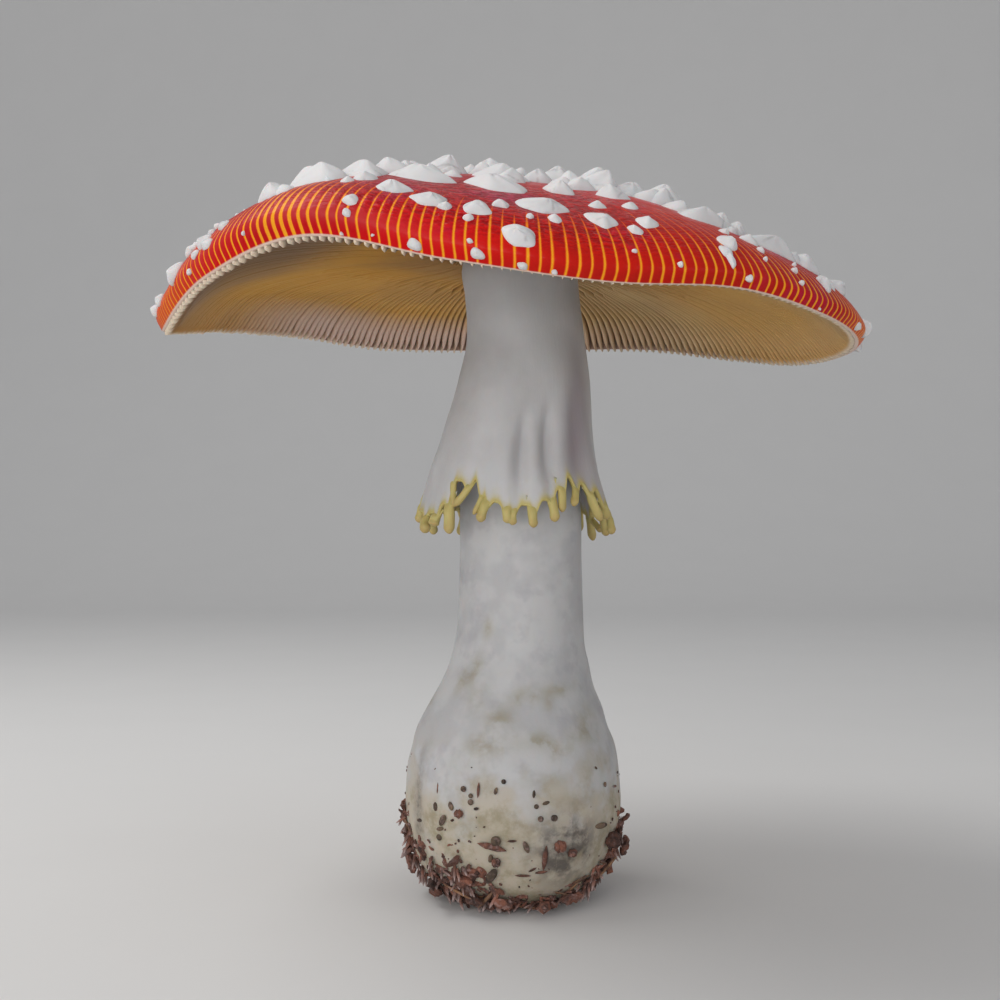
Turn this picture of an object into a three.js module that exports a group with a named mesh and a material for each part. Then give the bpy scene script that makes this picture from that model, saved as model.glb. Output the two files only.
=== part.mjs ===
// A fly agaric as picked: domed red cap with pale warts, free gills, ringed stem, bulb with soil on it.
// Millimetres, +Z up. The origin is the middle of the flat patch that the bulb stands on.

import * as THREE from 'three';

// Cap: a dome over a wavy rim. "reach" is 0 at the crown and 1 at the rim circle, and "rise" is
// 0 at the rim's mean height and 1 at the crown, so each profile below is a list of (reach, rise).
const rimRadius = 59;
const rimCentre = new THREE.Vector2(-0.4, -1.0);
const crown = new THREE.Vector3(1.4, 0.5, 121.8);
const crownSlope = new THREE.Vector2(-0.068, 0.04);
const waveGrowth = 2.5;
const rimHeights = [
  94.0, 94.4, 97.2, 100.4, 101.2, 101.1, 101.0, 102.2, 101.2,
  98.4, 96.6, 101.7, 105.2, 100.7, 97.8, 98.1, 96.2, 94.7,
];
const skinProfile = [
  [0, 1], [0.28, 0.985], [0.50, 0.86], [0.70, 0.68], [0.86, 0.49], [0.96, 0.32], [1.015, 0.12], [1, 0],
];
const fleshProfile = [
  [0, 0.78], [0.18, 0.78], [0.30, 0.77], [0.50, 0.70], [0.69, 0.56], [0.84, 0.40],
  [0.93, 0.25], [0.982, 0.08], [0.985, 0],
];
const gillEdgeProfile = [
  [0.19, 0.66], [0.22, 0.54], [0.32, 0.48], [0.50, 0.43], [0.70, 0.31], [0.85, 0.15],
  [0.93, 0.03], [0.974, -0.04],
];
const gillRootDrop = 0.35;
const capSides = 60;
const skinSteps = 14;
const fleshSteps = 8;
const gillEdgeSteps = 9;

// Stem: its axis wanders a little, and its radius swells into the bulb.
const stemAxis = [
  [0, 0, 0], [16, 0.2, 0], [30, 0.1, 0], [42, 1.2, 0], [56, 1.5, 0.1], [75, 1.6, 0.3], [90, 2.2, 0.5],
  [96, 2.4, 0.5], [104, 1.8, 0.5], [108, 1.5, 0.5], [122, 1.4, 0.5],
];
const stemProfile = [
  [0, 9], [1.2, 11.6], [4, 15], [8, 17.3], [13, 18.6], [18, 18.8], [25, 18], [31, 15.8], [37, 13.1],
  [44, 11.2], [55, 10.7], [66, 10.6], [78, 10.1], [86, 9.4], [92, 9.1], [100, 9], [114.5, 9],
];
const stemSides = 40;

// Skirt: a thin ring of veil, tight on the upper stem and flaring to a torn hem. Rows are (z, x, radius).
const skirtRows = [
  [65, 0.6, 16.8], [68, 0.5, 16.2], [74, 0.4, 15], [78, 0.7, 13.9], [82, 1.1, 12.9], [86, 1.7, 12],
  [90, 2.2, 11.3], [96, 2.5, 10.3], [104, 1.8, 10], [108.5, 1.5, 10],
];
const skirtSides = 64;
const skirtThickness = 0.6;
const skirtFolds = 9;
const skirtFoldDepth = 0.55;
const hemTeeth = 16;
const hemToothLength = 3.2;

// Soil: a crumbly crust on the lower bulb, higher on the two sides than at the front.
const soilGap = 0.3;
const soilFoot = 0.4;
const soilThickness = 1;
const soilTopThickness = 0.3;
const soilTops = [15, 14, 12, 12, 13, 14, 17, 18, 14, 9, 8, 11];

// Warts, each [angle in degrees, share of the way down the skin, across, along, height in mm].
const wartGap = 0.3;
const wartSides = 8;
const frontWarts = [
  [211, 0.82, 3.6, 5, 1.5], [220, 0.8, 3.2, 3.8, 1.1], [231, 0.67, 4.2, 4.2, 1.6],
  [234.5, 0.56, 6.4, 5.4, 2.2], [241.5, 0.5, 5.6, 5, 2], [239.5, 0.375, 5.8, 5.2, 2.2],
  [251, 0.638, 4.4, 4, 1], [256.5, 0.67, 4.6, 4.4, 1], [263.5, 0.67, 3.7, 4.2, 0.9],
  [250.5, 0.455, 7, 5.4, 1.7], [244.5, 0.27, 5.8, 5.4, 2.6], [253, 0.15, 5.4, 5, 2.8],
  [263, 0.265, 5.6, 5, 2], [265.5, 0.43, 7, 5.8, 1.5], [269, 0.785, 4.4, 4.4, 0.8],
  [272.5, 0.56, 6.6, 5.6, 1.1], [284, 0.2, 5, 4.8, 2.4], [278.5, 0.375, 4.4, 4, 1.4],
  [291, 0.37, 4.6, 4.2, 1.6], [298, 0.235, 6.4, 5.8, 3.1], [311, 0.33, 6.8, 6.2, 3],
  [307.5, 0.475, 7, 5, 1.8], [281, 0.61, 4.4, 5.4, 1], [288.5, 0.6, 3.8, 4.4, 0.9],
  [300, 0.7, 3, 4.2, 0.9], [317.5, 0.56, 6.2, 4.8, 1.9], [326, 0.62, 4.4, 4.2, 1.6],
  [332, 0.7, 4.2, 3.8, 1.3], [321.5, 0.76, 2.5, 4, 0.8], [342, 0.86, 3.2, 4, 1.3],
];
const backWartCount = 12;
const goldenAngle = Math.PI * (3 - Math.sqrt(5));

// Debris: [angle in degrees, height, length, width, depth, roll in degrees] of each chip and needle.
const debrisGap = 0.45;
const barkChips = [
  [186, 6, 5.2, 2.6, 1.8, 70], [214, 3.6, 4.6, 2.4, 1.8, 15], [262, 3.2, 3.8, 2.2, 1.6, -10],
  [305, 3.4, 5.0, 2.4, 1.8, 12], [351, 9, 4.4, 2.6, 1.8, 60], [95, 5, 5.0, 2.6, 1.8, 30],
];
const needles = [
  [192, 11, 9, 0.6, 0.5, 38], [236, 4, 8, 0.6, 0.5, -20], [330, 7, 9, 0.6, 0.5, 25],
  [50, 6, 8, 0.6, 0.5, -35],
];

const skinColour = { color: 0xc2141c, roughness: 0.28, metalness: 0 };
const gillColour = { color: 0x9a7a4c, roughness: 0.75, metalness: 0 };
const fleshWhite = { color: 0xd9d4cc, roughness: 0.7, metalness: 0 };
const wartWhite = { color: 0xe2dfd9, roughness: 0.8, metalness: 0 };
const soilBrown = { color: 0x6a4334, roughness: 0.95, metalness: 0 };
const needleTan = { color: 0xb08a55, roughness: 0.7, metalness: 0 };

const model = new THREE.Group();

function radians(degrees) {
  return THREE.MathUtils.degToRad(degrees);
}

// Value of a closed ring of evenly spaced values at an angle, smoothed by a cubic through four of them.
function ringValue(values, angle) {
  const count = values.length;
  const place = ((angle / (2 * Math.PI)) % 1 + 1) % 1 * count;
  const first = Math.floor(place);
  const t = place - first;
  const [a, b, c, d] = [-1, 0, 1, 2].map((step) => values[(first + step + count) % count]);
  return b + 0.5 * t * (c - a + t * (2 * a - 5 * b + 4 * c - d + t * (3 * (b - c) + d - a)));
}

// Value of a table whose first column rises, read at "key" and mixed between its rows.
function tableValue(rows, key, column) {
  const next = rows.findIndex((row) => row[0] >= key);
  const after = next < 0 ? rows.length - 1 : Math.max(next, 1);
  const [low, high] = [rows[after - 1], rows[after]];
  const share = THREE.MathUtils.clamp((key - low[0]) / (high[0] - low[0]), 0, 1);
  return THREE.MathUtils.lerp(low[column], high[column], share);
}

// Points of a smooth curve through a profile's corners.
function smoothRows(profile, count) {
  const curve = new THREE.SplineCurve(profile.map(([a, b]) => new THREE.Vector2(a, b)));
  return curve.getPoints(count);
}

// A closed body round an upright line: "rows" go up its outside and "place" puts each row's point.
function turnedBody(rows, segments, place) {
  const geometry = new THREE.LatheGeometry(rows.map(() => new THREE.Vector2(1, 0)), segments);
  const position = geometry.attributes.position;
  for (let column = 0; column <= segments; column += 1) {
    const angle = (column % segments) / segments * 2 * Math.PI;
    rows.forEach((row, index) => {
      const point = place(angle, row);
      position.setXYZ(column * rows.length + index, point.x, point.y, point.z);
    });
  }
  geometry.computeVertexNormals();
  return geometry;
}

function addPiece(name, geometry, look, flatShading = false) {
  const material = new THREE.MeshStandardMaterial({ ...look, flatShading });
  const mesh = new THREE.Mesh(geometry, material);
  mesh.name = name;
  model.add(mesh);
  return mesh;
}

// Distance from the crown's upright line to the rim circle at an angle.
function rimReach(angle) {
  const offset = new THREE.Vector2(crown.x, crown.y).sub(rimCentre);
  const along = offset.x * Math.cos(angle) + offset.y * Math.sin(angle);
  return -along + Math.sqrt(along ** 2 - offset.lengthSq() + rimRadius ** 2);
}

const meanRim = rimHeights.reduce((sum, height) => sum + height, 0) / rimHeights.length;

function capPoint(angle, reach, rise) {
  const radius = rimReach(angle) * reach;
  const x = radius * Math.cos(angle);
  const y = radius * Math.sin(angle);
  const top = crown.z + crownSlope.x * x + crownSlope.y * y;
  const wave = (ringValue(rimHeights, angle) - meanRim) * reach ** waveGrowth;
  return new THREE.Vector3(crown.x + x, crown.y + y, meanRim + (top - meanRim) * rise + wave);
}

const skinCurve = new THREE.SplineCurve(skinProfile.map(([reach, rise]) => new THREE.Vector2(reach, rise)));

function skinPoint(angle, down) {
  const row = skinCurve.getPoint(down);
  return capPoint(angle, row.x, row.y);
}

function makeCap() {
  const underside = smoothRows(fleshProfile, fleshSteps);
  const outside = smoothRows(skinProfile, skinSteps).reverse();
  const rows = [...underside, ...outside];
  addPiece('cap', turnedBody(rows, capSides, (angle, row) => capPoint(angle, row.x, row.y)), skinColour);
}

function makeGills() {
  const edge = smoothRows(gillEdgeProfile, gillEdgeSteps)
    .map((row) => ({ reach: row.x, rise: row.y, drop: 0 }));
  const first = edge[0].reach;
  const last = edge[edge.length - 1].reach;
  const root = smoothRows(fleshProfile, fleshSteps)
    .filter((row) => row.x > first + 0.01 && row.x < last)
    .map((row) => ({ reach: row.x, rise: row.y, drop: gillRootDrop }))
    .reverse();
  const rows = [...edge, ...root, edge[0]];
  const place = (angle, row) => {
    const point = capPoint(angle, row.reach, row.rise);
    point.z -= row.drop;
    return point;
  };
  addPiece('gills', turnedBody(rows, capSides, place), gillColour);
}

function stemPoint(angle, radius, z) {
  const x = tableValue(stemAxis, z, 1) + radius * Math.cos(angle);
  const y = tableValue(stemAxis, z, 2) + radius * Math.sin(angle);
  return new THREE.Vector3(x, y, z);
}

function makeStem() {
  const top = stemProfile[stemProfile.length - 1][0];
  const rows = [[0, 0], ...stemProfile, [top, 0]];
  const place = (angle, [z, radius]) => stemPoint(angle, radius, z);
  addPiece('stem', turnedBody(rows, stemSides, place), fleshWhite);
}

// The hem hangs in teeth: each is a narrow peak of a cosine, and neighbours differ in length.
function hemDrop(angle) {
  const tooth = 0.5 + 0.5 * Math.cos(hemTeeth * angle);
  const uneven = 0.7 + 0.3 * Math.sin(3 * angle + 1);
  return hemToothLength * uneven * tooth ** 2;
}

function makeSkirt() {
  const hem = skirtRows[0][0];
  const top = skirtRows[skirtRows.length - 1][0];
  const place = (angle, { z, inset }) => {
    const flare = Math.max(0, (90 - z) / (90 - hem));
    const fold = skirtFoldDepth * flare * Math.sin(skirtFolds * angle + 0.6 * Math.sin(2 * angle));
    const radius = tableValue(skirtRows, z, 2) + fold - inset;
    const middle = tableValue(skirtRows, z, 1);
    const lean = tableValue(stemAxis, z, 2);
    const drop = hemDrop(angle) * THREE.MathUtils.clamp(1 - (z - hem) / 5, 0, 1);
    return new THREE.Vector3(middle + radius * Math.cos(angle), lean + radius * Math.sin(angle), z - drop);
  };
  const outside = skirtRows.map(([z]) => ({ z, inset: 0 }));
  const inside = outside.map(({ z }) => ({ z, inset: z === top ? 0.4 : skirtThickness })).reverse();
  addPiece('skirt', turnedBody([...outside, ...inside, outside[0]], skirtSides, place), fleshWhite);
}

// Outer radius of the crust: a lumpy layer that thins to its top edge.
function soilOutside(angle, z) {
  const lumps = 0.25 * Math.sin(7 * angle + z) + 0.2 * Math.sin(13 * angle - 0.7 * z);
  const share = THREE.MathUtils.clamp((z - soilFoot) / (ringValue(soilTops, angle) - soilFoot), 0, 1);
  const layer = THREE.MathUtils.lerp(soilThickness + lumps, soilTopThickness, share ** 3);
  return tableValue(stemProfile, z, 1) + soilGap + layer;
}

function makeSoil() {
  const shares = [0, 0.05, 0.11, 0.18, 0.28, 0.42, 0.6, 0.8, 1];
  const place = (angle, { share, outer }) => {
    const z = THREE.MathUtils.lerp(soilFoot, ringValue(soilTops, angle), share);
    const inner = tableValue(stemProfile, z, 1) + soilGap;
    return stemPoint(angle, outer ? soilOutside(angle, z) : inner, z);
  };
  const outside = shares.map((share) => ({ share, outer: true }));
  const inside = shares.map((share) => ({ share, outer: false })).reverse();
  addPiece('soil_crust', turnedBody([...outside, ...inside, outside[0]], stemSides, place), soilBrown, true);
}

// A low pyramid with an uneven outline, flat underneath, standing on the skin with a small gap.
function wartGeometry(across, along, height, seed) {
  const rows = [[0, 0], [1, 0], [0.86, 0.35], [0.42, 0.8], [0, 1]];
  return turnedBody(rows, wartSides, (angle, [share, level]) => {
    const uneven = 1 + 0.1 * Math.sin(2 * angle + seed) + 0.08 * Math.sin(3 * angle + 2.3 * seed);
    const x = 0.5 * across * share * uneven * Math.cos(angle);
    const y = 0.5 * along * share * uneven * Math.sin(angle);
    return new THREE.Vector3(x, y, wartGap + height * level);
  });
}

function makeWart(name, [degrees, down, across, along, height], seed) {
  const angle = radians(degrees);
  const step = 0.01;
  const point = skinPoint(angle, down);
  const around = skinPoint(angle + step, down).sub(skinPoint(angle - step, down)).normalize();
  const downhill = skinPoint(angle, down + step).sub(skinPoint(angle, down - step)).normalize();
  const outward = new THREE.Vector3().crossVectors(downhill, around).normalize();
  const uphill = new THREE.Vector3().crossVectors(outward, around);
  const mesh = addPiece(name, wartGeometry(across, along, height, seed), wartWhite, true);
  mesh.position.copy(point);
  mesh.quaternion.setFromRotationMatrix(new THREE.Matrix4().makeBasis(around, uphill, outward));
}

function makeWarts() {
  const backWarts = Array.from({ length: backWartCount }, (_, index) => {
    const share = (index + 0.5) / backWartCount;
    const degrees = 12 + 156 * ((index * goldenAngle / Math.PI) % 1);
    const size = 6.8 - 2.6 * share + 0.8 * Math.sin(3 * index);
    return [degrees, 0.1 + 0.72 * share, size, 0.85 * size, 3 - 1.9 * share];
  });
  [...frontWarts, ...backWarts].forEach((wart, index) => {
    makeWart(`wart_${String(index + 1).padStart(2, '0')}`, wart, index);
  });
}

// A rough sliver lying on the crust: long along its own X, thin along its own Z.
function makeDebris(name, [degrees, z, length, width, depth, roll], look) {
  const angle = radians(degrees);
  const point = stemPoint(angle, soilOutside(angle, z), z);
  const around = new THREE.Vector3(-Math.sin(angle), Math.cos(angle), 0);
  const up = stemPoint(angle, soilOutside(angle, z + 1), z + 1).sub(point).normalize();
  const outward = new THREE.Vector3().crossVectors(around, up);
  const geometry = new THREE.IcosahedronGeometry(0.5, 0);
  const mesh = addPiece(name, geometry.scale(length, width, depth), look, true);
  mesh.position.copy(point).addScaledVector(outward, 0.5 * depth + debrisGap);
  mesh.quaternion.setFromRotationMatrix(new THREE.Matrix4().makeBasis(around, up, outward));
  mesh.rotateZ(radians(roll));
}

makeCap();
makeGills();
makeStem();
makeSkirt();
makeSoil();
makeWarts();
barkChips.forEach((chip, index) => makeDebris(`bark_chip_0${index + 1}`, chip, soilBrown));
needles.forEach((needle, index) => makeDebris(`needle_0${index + 1}`, needle, needleTan));

export default model;
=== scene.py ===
import math
import bpy
import numpy as np
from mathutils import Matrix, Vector


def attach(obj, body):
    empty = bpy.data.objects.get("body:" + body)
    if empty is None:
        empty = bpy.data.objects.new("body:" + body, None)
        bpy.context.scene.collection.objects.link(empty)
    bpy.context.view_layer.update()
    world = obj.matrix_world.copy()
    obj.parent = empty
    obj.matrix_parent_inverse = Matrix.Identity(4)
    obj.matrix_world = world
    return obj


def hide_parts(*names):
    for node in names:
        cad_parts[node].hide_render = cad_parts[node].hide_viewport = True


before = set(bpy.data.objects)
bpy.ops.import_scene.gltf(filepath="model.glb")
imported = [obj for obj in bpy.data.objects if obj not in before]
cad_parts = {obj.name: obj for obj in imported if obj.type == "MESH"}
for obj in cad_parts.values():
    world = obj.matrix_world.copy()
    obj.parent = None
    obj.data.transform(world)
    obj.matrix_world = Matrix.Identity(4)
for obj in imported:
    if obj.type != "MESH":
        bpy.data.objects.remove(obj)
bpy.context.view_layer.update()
mm = 0.001
turn = 2 * math.pi
print("frame loaded with", len(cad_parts), "nodes")


# the cubic b + t/2 (c - a + t (2a - 5b + 4c - d + t (3(b - c) + d - a))) between b and c
def cubic(a, b, c, d, t):
    return b + t / 2 * (c - a + t * (2 * a - 5 * b + 4 * c - d + t * (3 * (b - c) + d - a)))


# the cubic through values that stand evenly round a ring
def ringValue(values, angle):
    values = np.asarray(values, float)
    count = len(values)
    spot = (np.asarray(angle, float) / turn % 1) * count
    first = np.floor(spot).astype(int)
    return cubic(*(values[(first + step) % count] for step in (-1, 0, 1, 2)), spot - first)


# the cubic through an open row of points, read at a share from 0 to 1 of the way along
def rowValue(rows, share):
    rows = np.asarray(rows, float)
    last = len(rows) - 1
    spot = np.clip(np.asarray(share, float), 0, 1) * last
    first = np.minimum(spot.astype(int), last - 1)
    t = (spot - first)[..., None]
    return cubic(*(rows[np.clip(first + step, 0, last)] for step in (-1, 0, 1, 2)), t)


# a table of rows whose first column rises, smoothed by the cubic and read at heights z
def smoothTable(rows, z, column=1):
    fine = rowValue(rows, np.linspace(0, 1, 600))
    return np.interp(z, fine[:, 0], fine[:, column])


# straight mix between (angle in degrees, value) pairs that closes round the ring
def roundTable(pairs, angle):
    degrees, values = np.array(pairs, float).T
    return np.interp(np.degrees(angle) % 360, degrees, values, period=360)


# 0 below low, 1 above high, and 3s^2 - 2s^3 between
def easeStep(value, low, high):
    s = np.clip((value - low) / (high - low), 0, 1)
    return s * s * (3 - 2 * s)


# a count of even angles round the ring
def evenAngles(count):
    return np.arange(count) / count * turn


# degrees from a bearing round to an angle, from -180 to 180
def degreesPast(angle, bearing):
    return (np.degrees(angle) - bearing + 180) % 360 - 180


# unevenness: the sum of cos(k angle + w along + p) over random whole k, random w and p, over sqrt(waves)
def ripple(angle, along, seed, around=6, lengthwise=1.0, waves=12):
    rng = np.random.default_rng(seed)
    total = np.zeros(np.broadcast(angle, along).shape)
    for wave in range(waves):
        k = rng.integers(-around, around + 1)
        w, p = rng.uniform(-lengthwise, lengthwise), rng.uniform(0, turn)
        total = total + np.cos(k * angle + w * along + p)
    return total / math.sqrt(waves)


# soft marks: the sum of strength exp(-(turn / breadth)^2 - (rise / height)^2) over the marks
def marks(spots, angle, z):
    total = 0
    for degrees, height, breadth, tall, strength in spots:
        aside = degreesPast(angle, degrees)
        total = total + strength * np.exp(-(aside / breadth) ** 2 - ((z - height) / tall) ** 2)
    return total


# quads between a grid's rows and round its columns, for bodies whose vertices start at firsts
def gridQuads(rows, columns, firsts, closeRows=False):
    row, column = np.meshgrid(np.arange(rows if closeRows else rows - 1), np.arange(columns), indexing="ij")
    low, high = row * columns, (row + 1) % rows * columns
    beside = (column + 1) % columns
    quads = np.stack([low + column, low + beside, high + beside, high + column], -1).reshape(-1, 4)
    return (np.asarray(firsts)[:, None, None] + quads).reshape(-1, 4)


# closed bodies from grids (body, row, column, xyz): rows go up, columns go anticlockwise, and the
# first and last rows close on the poles bottom and top (body, xyz), or on each other with no poles
def closedBodies(grids, bottom=None, top=None):
    bodies, rows, columns, _ = grids.shape
    flat = grids.reshape(bodies, -1, 3)
    if bottom is None:
        firsts = np.arange(bodies) * flat.shape[1]
        return flat.reshape(-1, 3), gridQuads(rows, columns, firsts, True).tolist()
    points = np.concatenate([flat, bottom[:, None], top[:, None]], 1)
    size = points.shape[1]
    firsts = np.arange(bodies) * size
    column = np.arange(columns)
    beside = (column + 1) % columns
    low = np.stack([np.full(columns, size - 2), beside, column], -1)
    high = np.stack([np.full(columns, size - 1), column, beside], -1)
    high[:, 1:] += (rows - 1) * columns
    fans = (firsts[:, None, None] + np.concatenate([low, high])).reshape(-1, 3)
    return points.reshape(-1, 3), gridQuads(rows, columns, firsts).tolist() + fans.tolist()


# values on grids of the shape (body, row, column), as one value for each mesh vertex; the poles take
# the means of the end rows
def perVertex(shape, poles=True, **values):
    made = {}
    for key, value in values.items():
        value = np.broadcast_to(value, shape)
        ends = [value[:, end].mean(1)[:, None] for end in (0, -1)] if poles else []
        made[key] = np.concatenate([value.reshape(shape[0], -1), *ends], 1).ravel()
    return made


# puts a body, points in mm and faces, into a piece that rides on the mushroom, values as attributes
def makePiece(name, body, material, slotName, replaced=(), smooth=True, **attributes):
    points, faces = body
    mesh = bpy.data.meshes.new(name)
    mesh.from_pydata((np.asarray(points) * mm).tolist(), [], faces)
    mesh.polygons.foreach_set("use_smooth", np.full(len(mesh.polygons), smooth))
    for key, values in attributes.items():
        values = np.asarray(values, np.float32)
        kind, field = ("FLOAT_VECTOR", "vector") if values.ndim == 2 else ("FLOAT", "value")
        mesh.attributes.new(key, kind, "POINT").data.foreach_set(field, values.ravel())
    mesh.materials.append(material)
    mesh.update()
    piece = bpy.data.objects.new(name, mesh)
    bpy.context.scene.collection.objects.link(piece)
    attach(piece, "root")
    if replaced:
        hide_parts(*replaced)


# unit normals of a grid (row, column, xyz) that closes round its columns
def gridNormals(points):
    around = np.roll(points, -1, 1) - np.roll(points, 1, 1)
    normals = np.cross(around, np.gradient(points, axis=0))
    return normals / np.maximum(np.linalg.norm(normals, axis=-1, keepdims=True), 1e-9)


# the corner points of one of the frame's nodes in mm, each once
def cornerPoints(node):
    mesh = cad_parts[node].data
    points = np.empty(len(mesh.vertices) * 3)
    mesh.vertices.foreach_get("co", points)
    return np.unique(points.reshape(-1, 3).round(7), axis=0) / mm


def newMaterial(name, **sockets):
    material = bpy.data.materials.new(name)
    material.use_nodes = True
    shader = material.node_tree.nodes["Principled BSDF"]
    for key, value in sockets.items():
        shader.inputs[key.replace("_", " ")].default_value = value
    return material


def isSocket(value):
    return isinstance(value, bpy.types.NodeSocket)


# a node beside the nodes that feed it; an input is a socket to link or a plain value
def addNode(kind, inputs, tree=None, **settings):
    if tree is None:
        tree = next(value.id_data for value in inputs.values() if isSocket(value))
    made = tree.nodes.new("ShaderNode" + kind)
    for key, value in settings.items():
        setattr(made, key, value)
    for key, value in inputs.items():
        if isSocket(value):
            tree.links.new(value, made.inputs[key])
        else:
            made.inputs[key].default_value = value
    return made


def place(material, scale=(1, 1, 1)):
    coordinates = addNode("TexCoord", {}, material.node_tree).outputs["Object"]
    return addNode("Mapping", {"Vector": coordinates, "Scale": scale}).outputs[0]


def reading(material, name, output="Fac"):
    return addNode("Attribute", {}, material.node_tree, attribute_name=name).outputs[output]


def noise(vector, scale, detail=3.0, rough=0.5):
    inputs = {"Vector": vector, "Scale": scale, "Detail": detail, "Roughness": rough}
    return addNode("TexNoise", inputs).outputs["Fac"]


def spread(value, low, high, start=0.0, end=1.0):
    inputs = {"Value": value, "From Min": low, "From Max": high, "To Min": start, "To Max": end}
    return addNode("MapRange", inputs, interpolation_type="SMOOTHSTEP").outputs[0]


def times(a, b):
    return addNode("Math", {0: a, 1: b}, operation="MULTIPLY").outputs[0]


def plus(a, b):
    return addNode("Math", {0: a, 1: b}, operation="ADD").outputs[0]


def minus(a, b):
    return addNode("Math", {0: a, 1: b}, operation="SUBTRACT").outputs[0]


def mixed(factor, a, b, blend="MIX"):
    first, second = (value if isSocket(value) else (*value, 1) for value in (a, b))
    inputs = {0: factor, 6: first, 7: second}
    return addNode("Mix", inputs, data_type="RGBA", blend_type=blend).outputs[2]


def finishMaterial(material, colour, height=None, relief=0.1, roughness=None):
    shader = material.node_tree.nodes["Principled BSDF"]
    links = material.node_tree.links
    links.new(colour, shader.inputs["Base Color"])
    if roughness is not None:
        links.new(roughness, shader.inputs["Roughness"])
    if height is not None:
        inputs = {"Height": height, "Distance": relief * mm, "Strength": 1.0}
        links.new(addNode("Bump", inputs).outputs[0], shader.inputs["Normal"])
    return material


camera = {"x": -2.1, "distance": 243.1, "height": 68.6, "lens": 50, "sensor": 36, "near": 0.01, "far": 20}
studio = {
    "floorSize": 4000, "backdropAt": 1100, "backdropBend": 500, "bendSteps": 24,
    "floorColour": (0.74, 0.73, 0.72), "floorDarkest": 0.97, "aimHeight": 70,
    "worldLight": 0.42, "worldColour": (0.95, 0.97, 1, 1),
    # soft boxes: place, width, height, watts, colour
    "lights": {
        "keyLight": ((-420, -640, 260), 900, 460, 2.3, (1, 0.985, 0.97)),
        "fillLight": ((620, -420, 160), 500, 300, 0.6, (0.96, 0.98, 1)),
        "topLight": ((-260, 40, 480), 300, 300, 1.1, (1, 0.99, 0.97)),
        "lowLight": ((-170, -640, 30), 420, 160, 0.95, (0.98, 0.985, 1)),
    },
}


def makeCamera():
    data = bpy.data.cameras.new("camera")
    data.lens, data.sensor_width = camera["lens"], camera["sensor"]
    data.clip_start, data.clip_end = camera["near"], camera["far"]
    viewer = bpy.data.objects.new("camera", data)
    viewer.location = (camera["x"] * mm, -camera["distance"] * mm, camera["height"] * mm)
    viewer.rotation_euler = (math.pi / 2, 0, 0)
    bpy.context.scene.collection.objects.link(viewer)
    bpy.context.scene.camera = viewer


# a floor that bends up into a wall behind: x across, and along it y then z through a quarter circle
def makeStage():
    half, wall, bend = studio["floorSize"] / 2, studio["backdropAt"], studio["backdropBend"]
    arc = np.linspace(0, math.pi / 2, studio["bendSteps"])
    depth = np.concatenate([[-half], wall - bend + bend * np.sin(arc), [wall]])
    rise = np.concatenate([[0], bend - bend * np.cos(arc), [half]])
    sides = np.array([-half, half])
    points = np.stack(np.broadcast_arrays(sides[None], depth[:, None], rise[:, None]), -1).reshape(-1, 3)
    r = np.arange(len(depth) - 1) * 2
    faces = np.stack([r, r + 1, r + 3, r + 2], -1).tolist()
    mesh = bpy.data.meshes.new("floor")
    mesh.from_pydata((points * mm).tolist(), [], faces)
    mesh.polygons.foreach_set("use_smooth", np.full(len(faces), True))
    material = newMaterial("floorPaper", Roughness=0.9)
    darkest = tuple(part * studio["floorDarkest"] for part in studio["floorColour"])
    paper = mixed(noise(place(material), 30, 4), darkest, studio["floorColour"])
    mesh.materials.append(finishMaterial(material, paper))
    floor = bpy.data.objects.new("floor", mesh)
    bpy.context.scene.collection.objects.link(floor)


def makeLight(name, spot, width, height, watts, colour):
    data = bpy.data.lights.new(name, "AREA")
    data.shape, data.size, data.size_y = "RECTANGLE", width * mm, height * mm
    data.energy, data.color = watts, colour
    lamp = bpy.data.objects.new(name, data)
    lamp.location = tuple(part * mm for part in spot)
    aim = Vector((0, 0, studio["aimHeight"])) - Vector(spot)
    lamp.rotation_euler = aim.to_track_quat("-Z", "Y").to_euler()
    bpy.context.scene.collection.objects.link(lamp)


def makeWorld():
    world = bpy.data.worlds.new("studio")
    world.use_nodes = True
    sky = world.node_tree.nodes["Background"].inputs
    sky["Color"].default_value = studio["worldColour"]
    sky["Strength"].default_value = studio["worldLight"]
    bpy.context.scene.world = world


makeCamera()
makeStage()
for lightName, lightValues in studio["lights"].items():
    makeLight(lightName, *lightValues)
makeWorld()
bpy.context.scene.view_settings.view_transform = "Standard"
print("camera, floor and light made")


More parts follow.
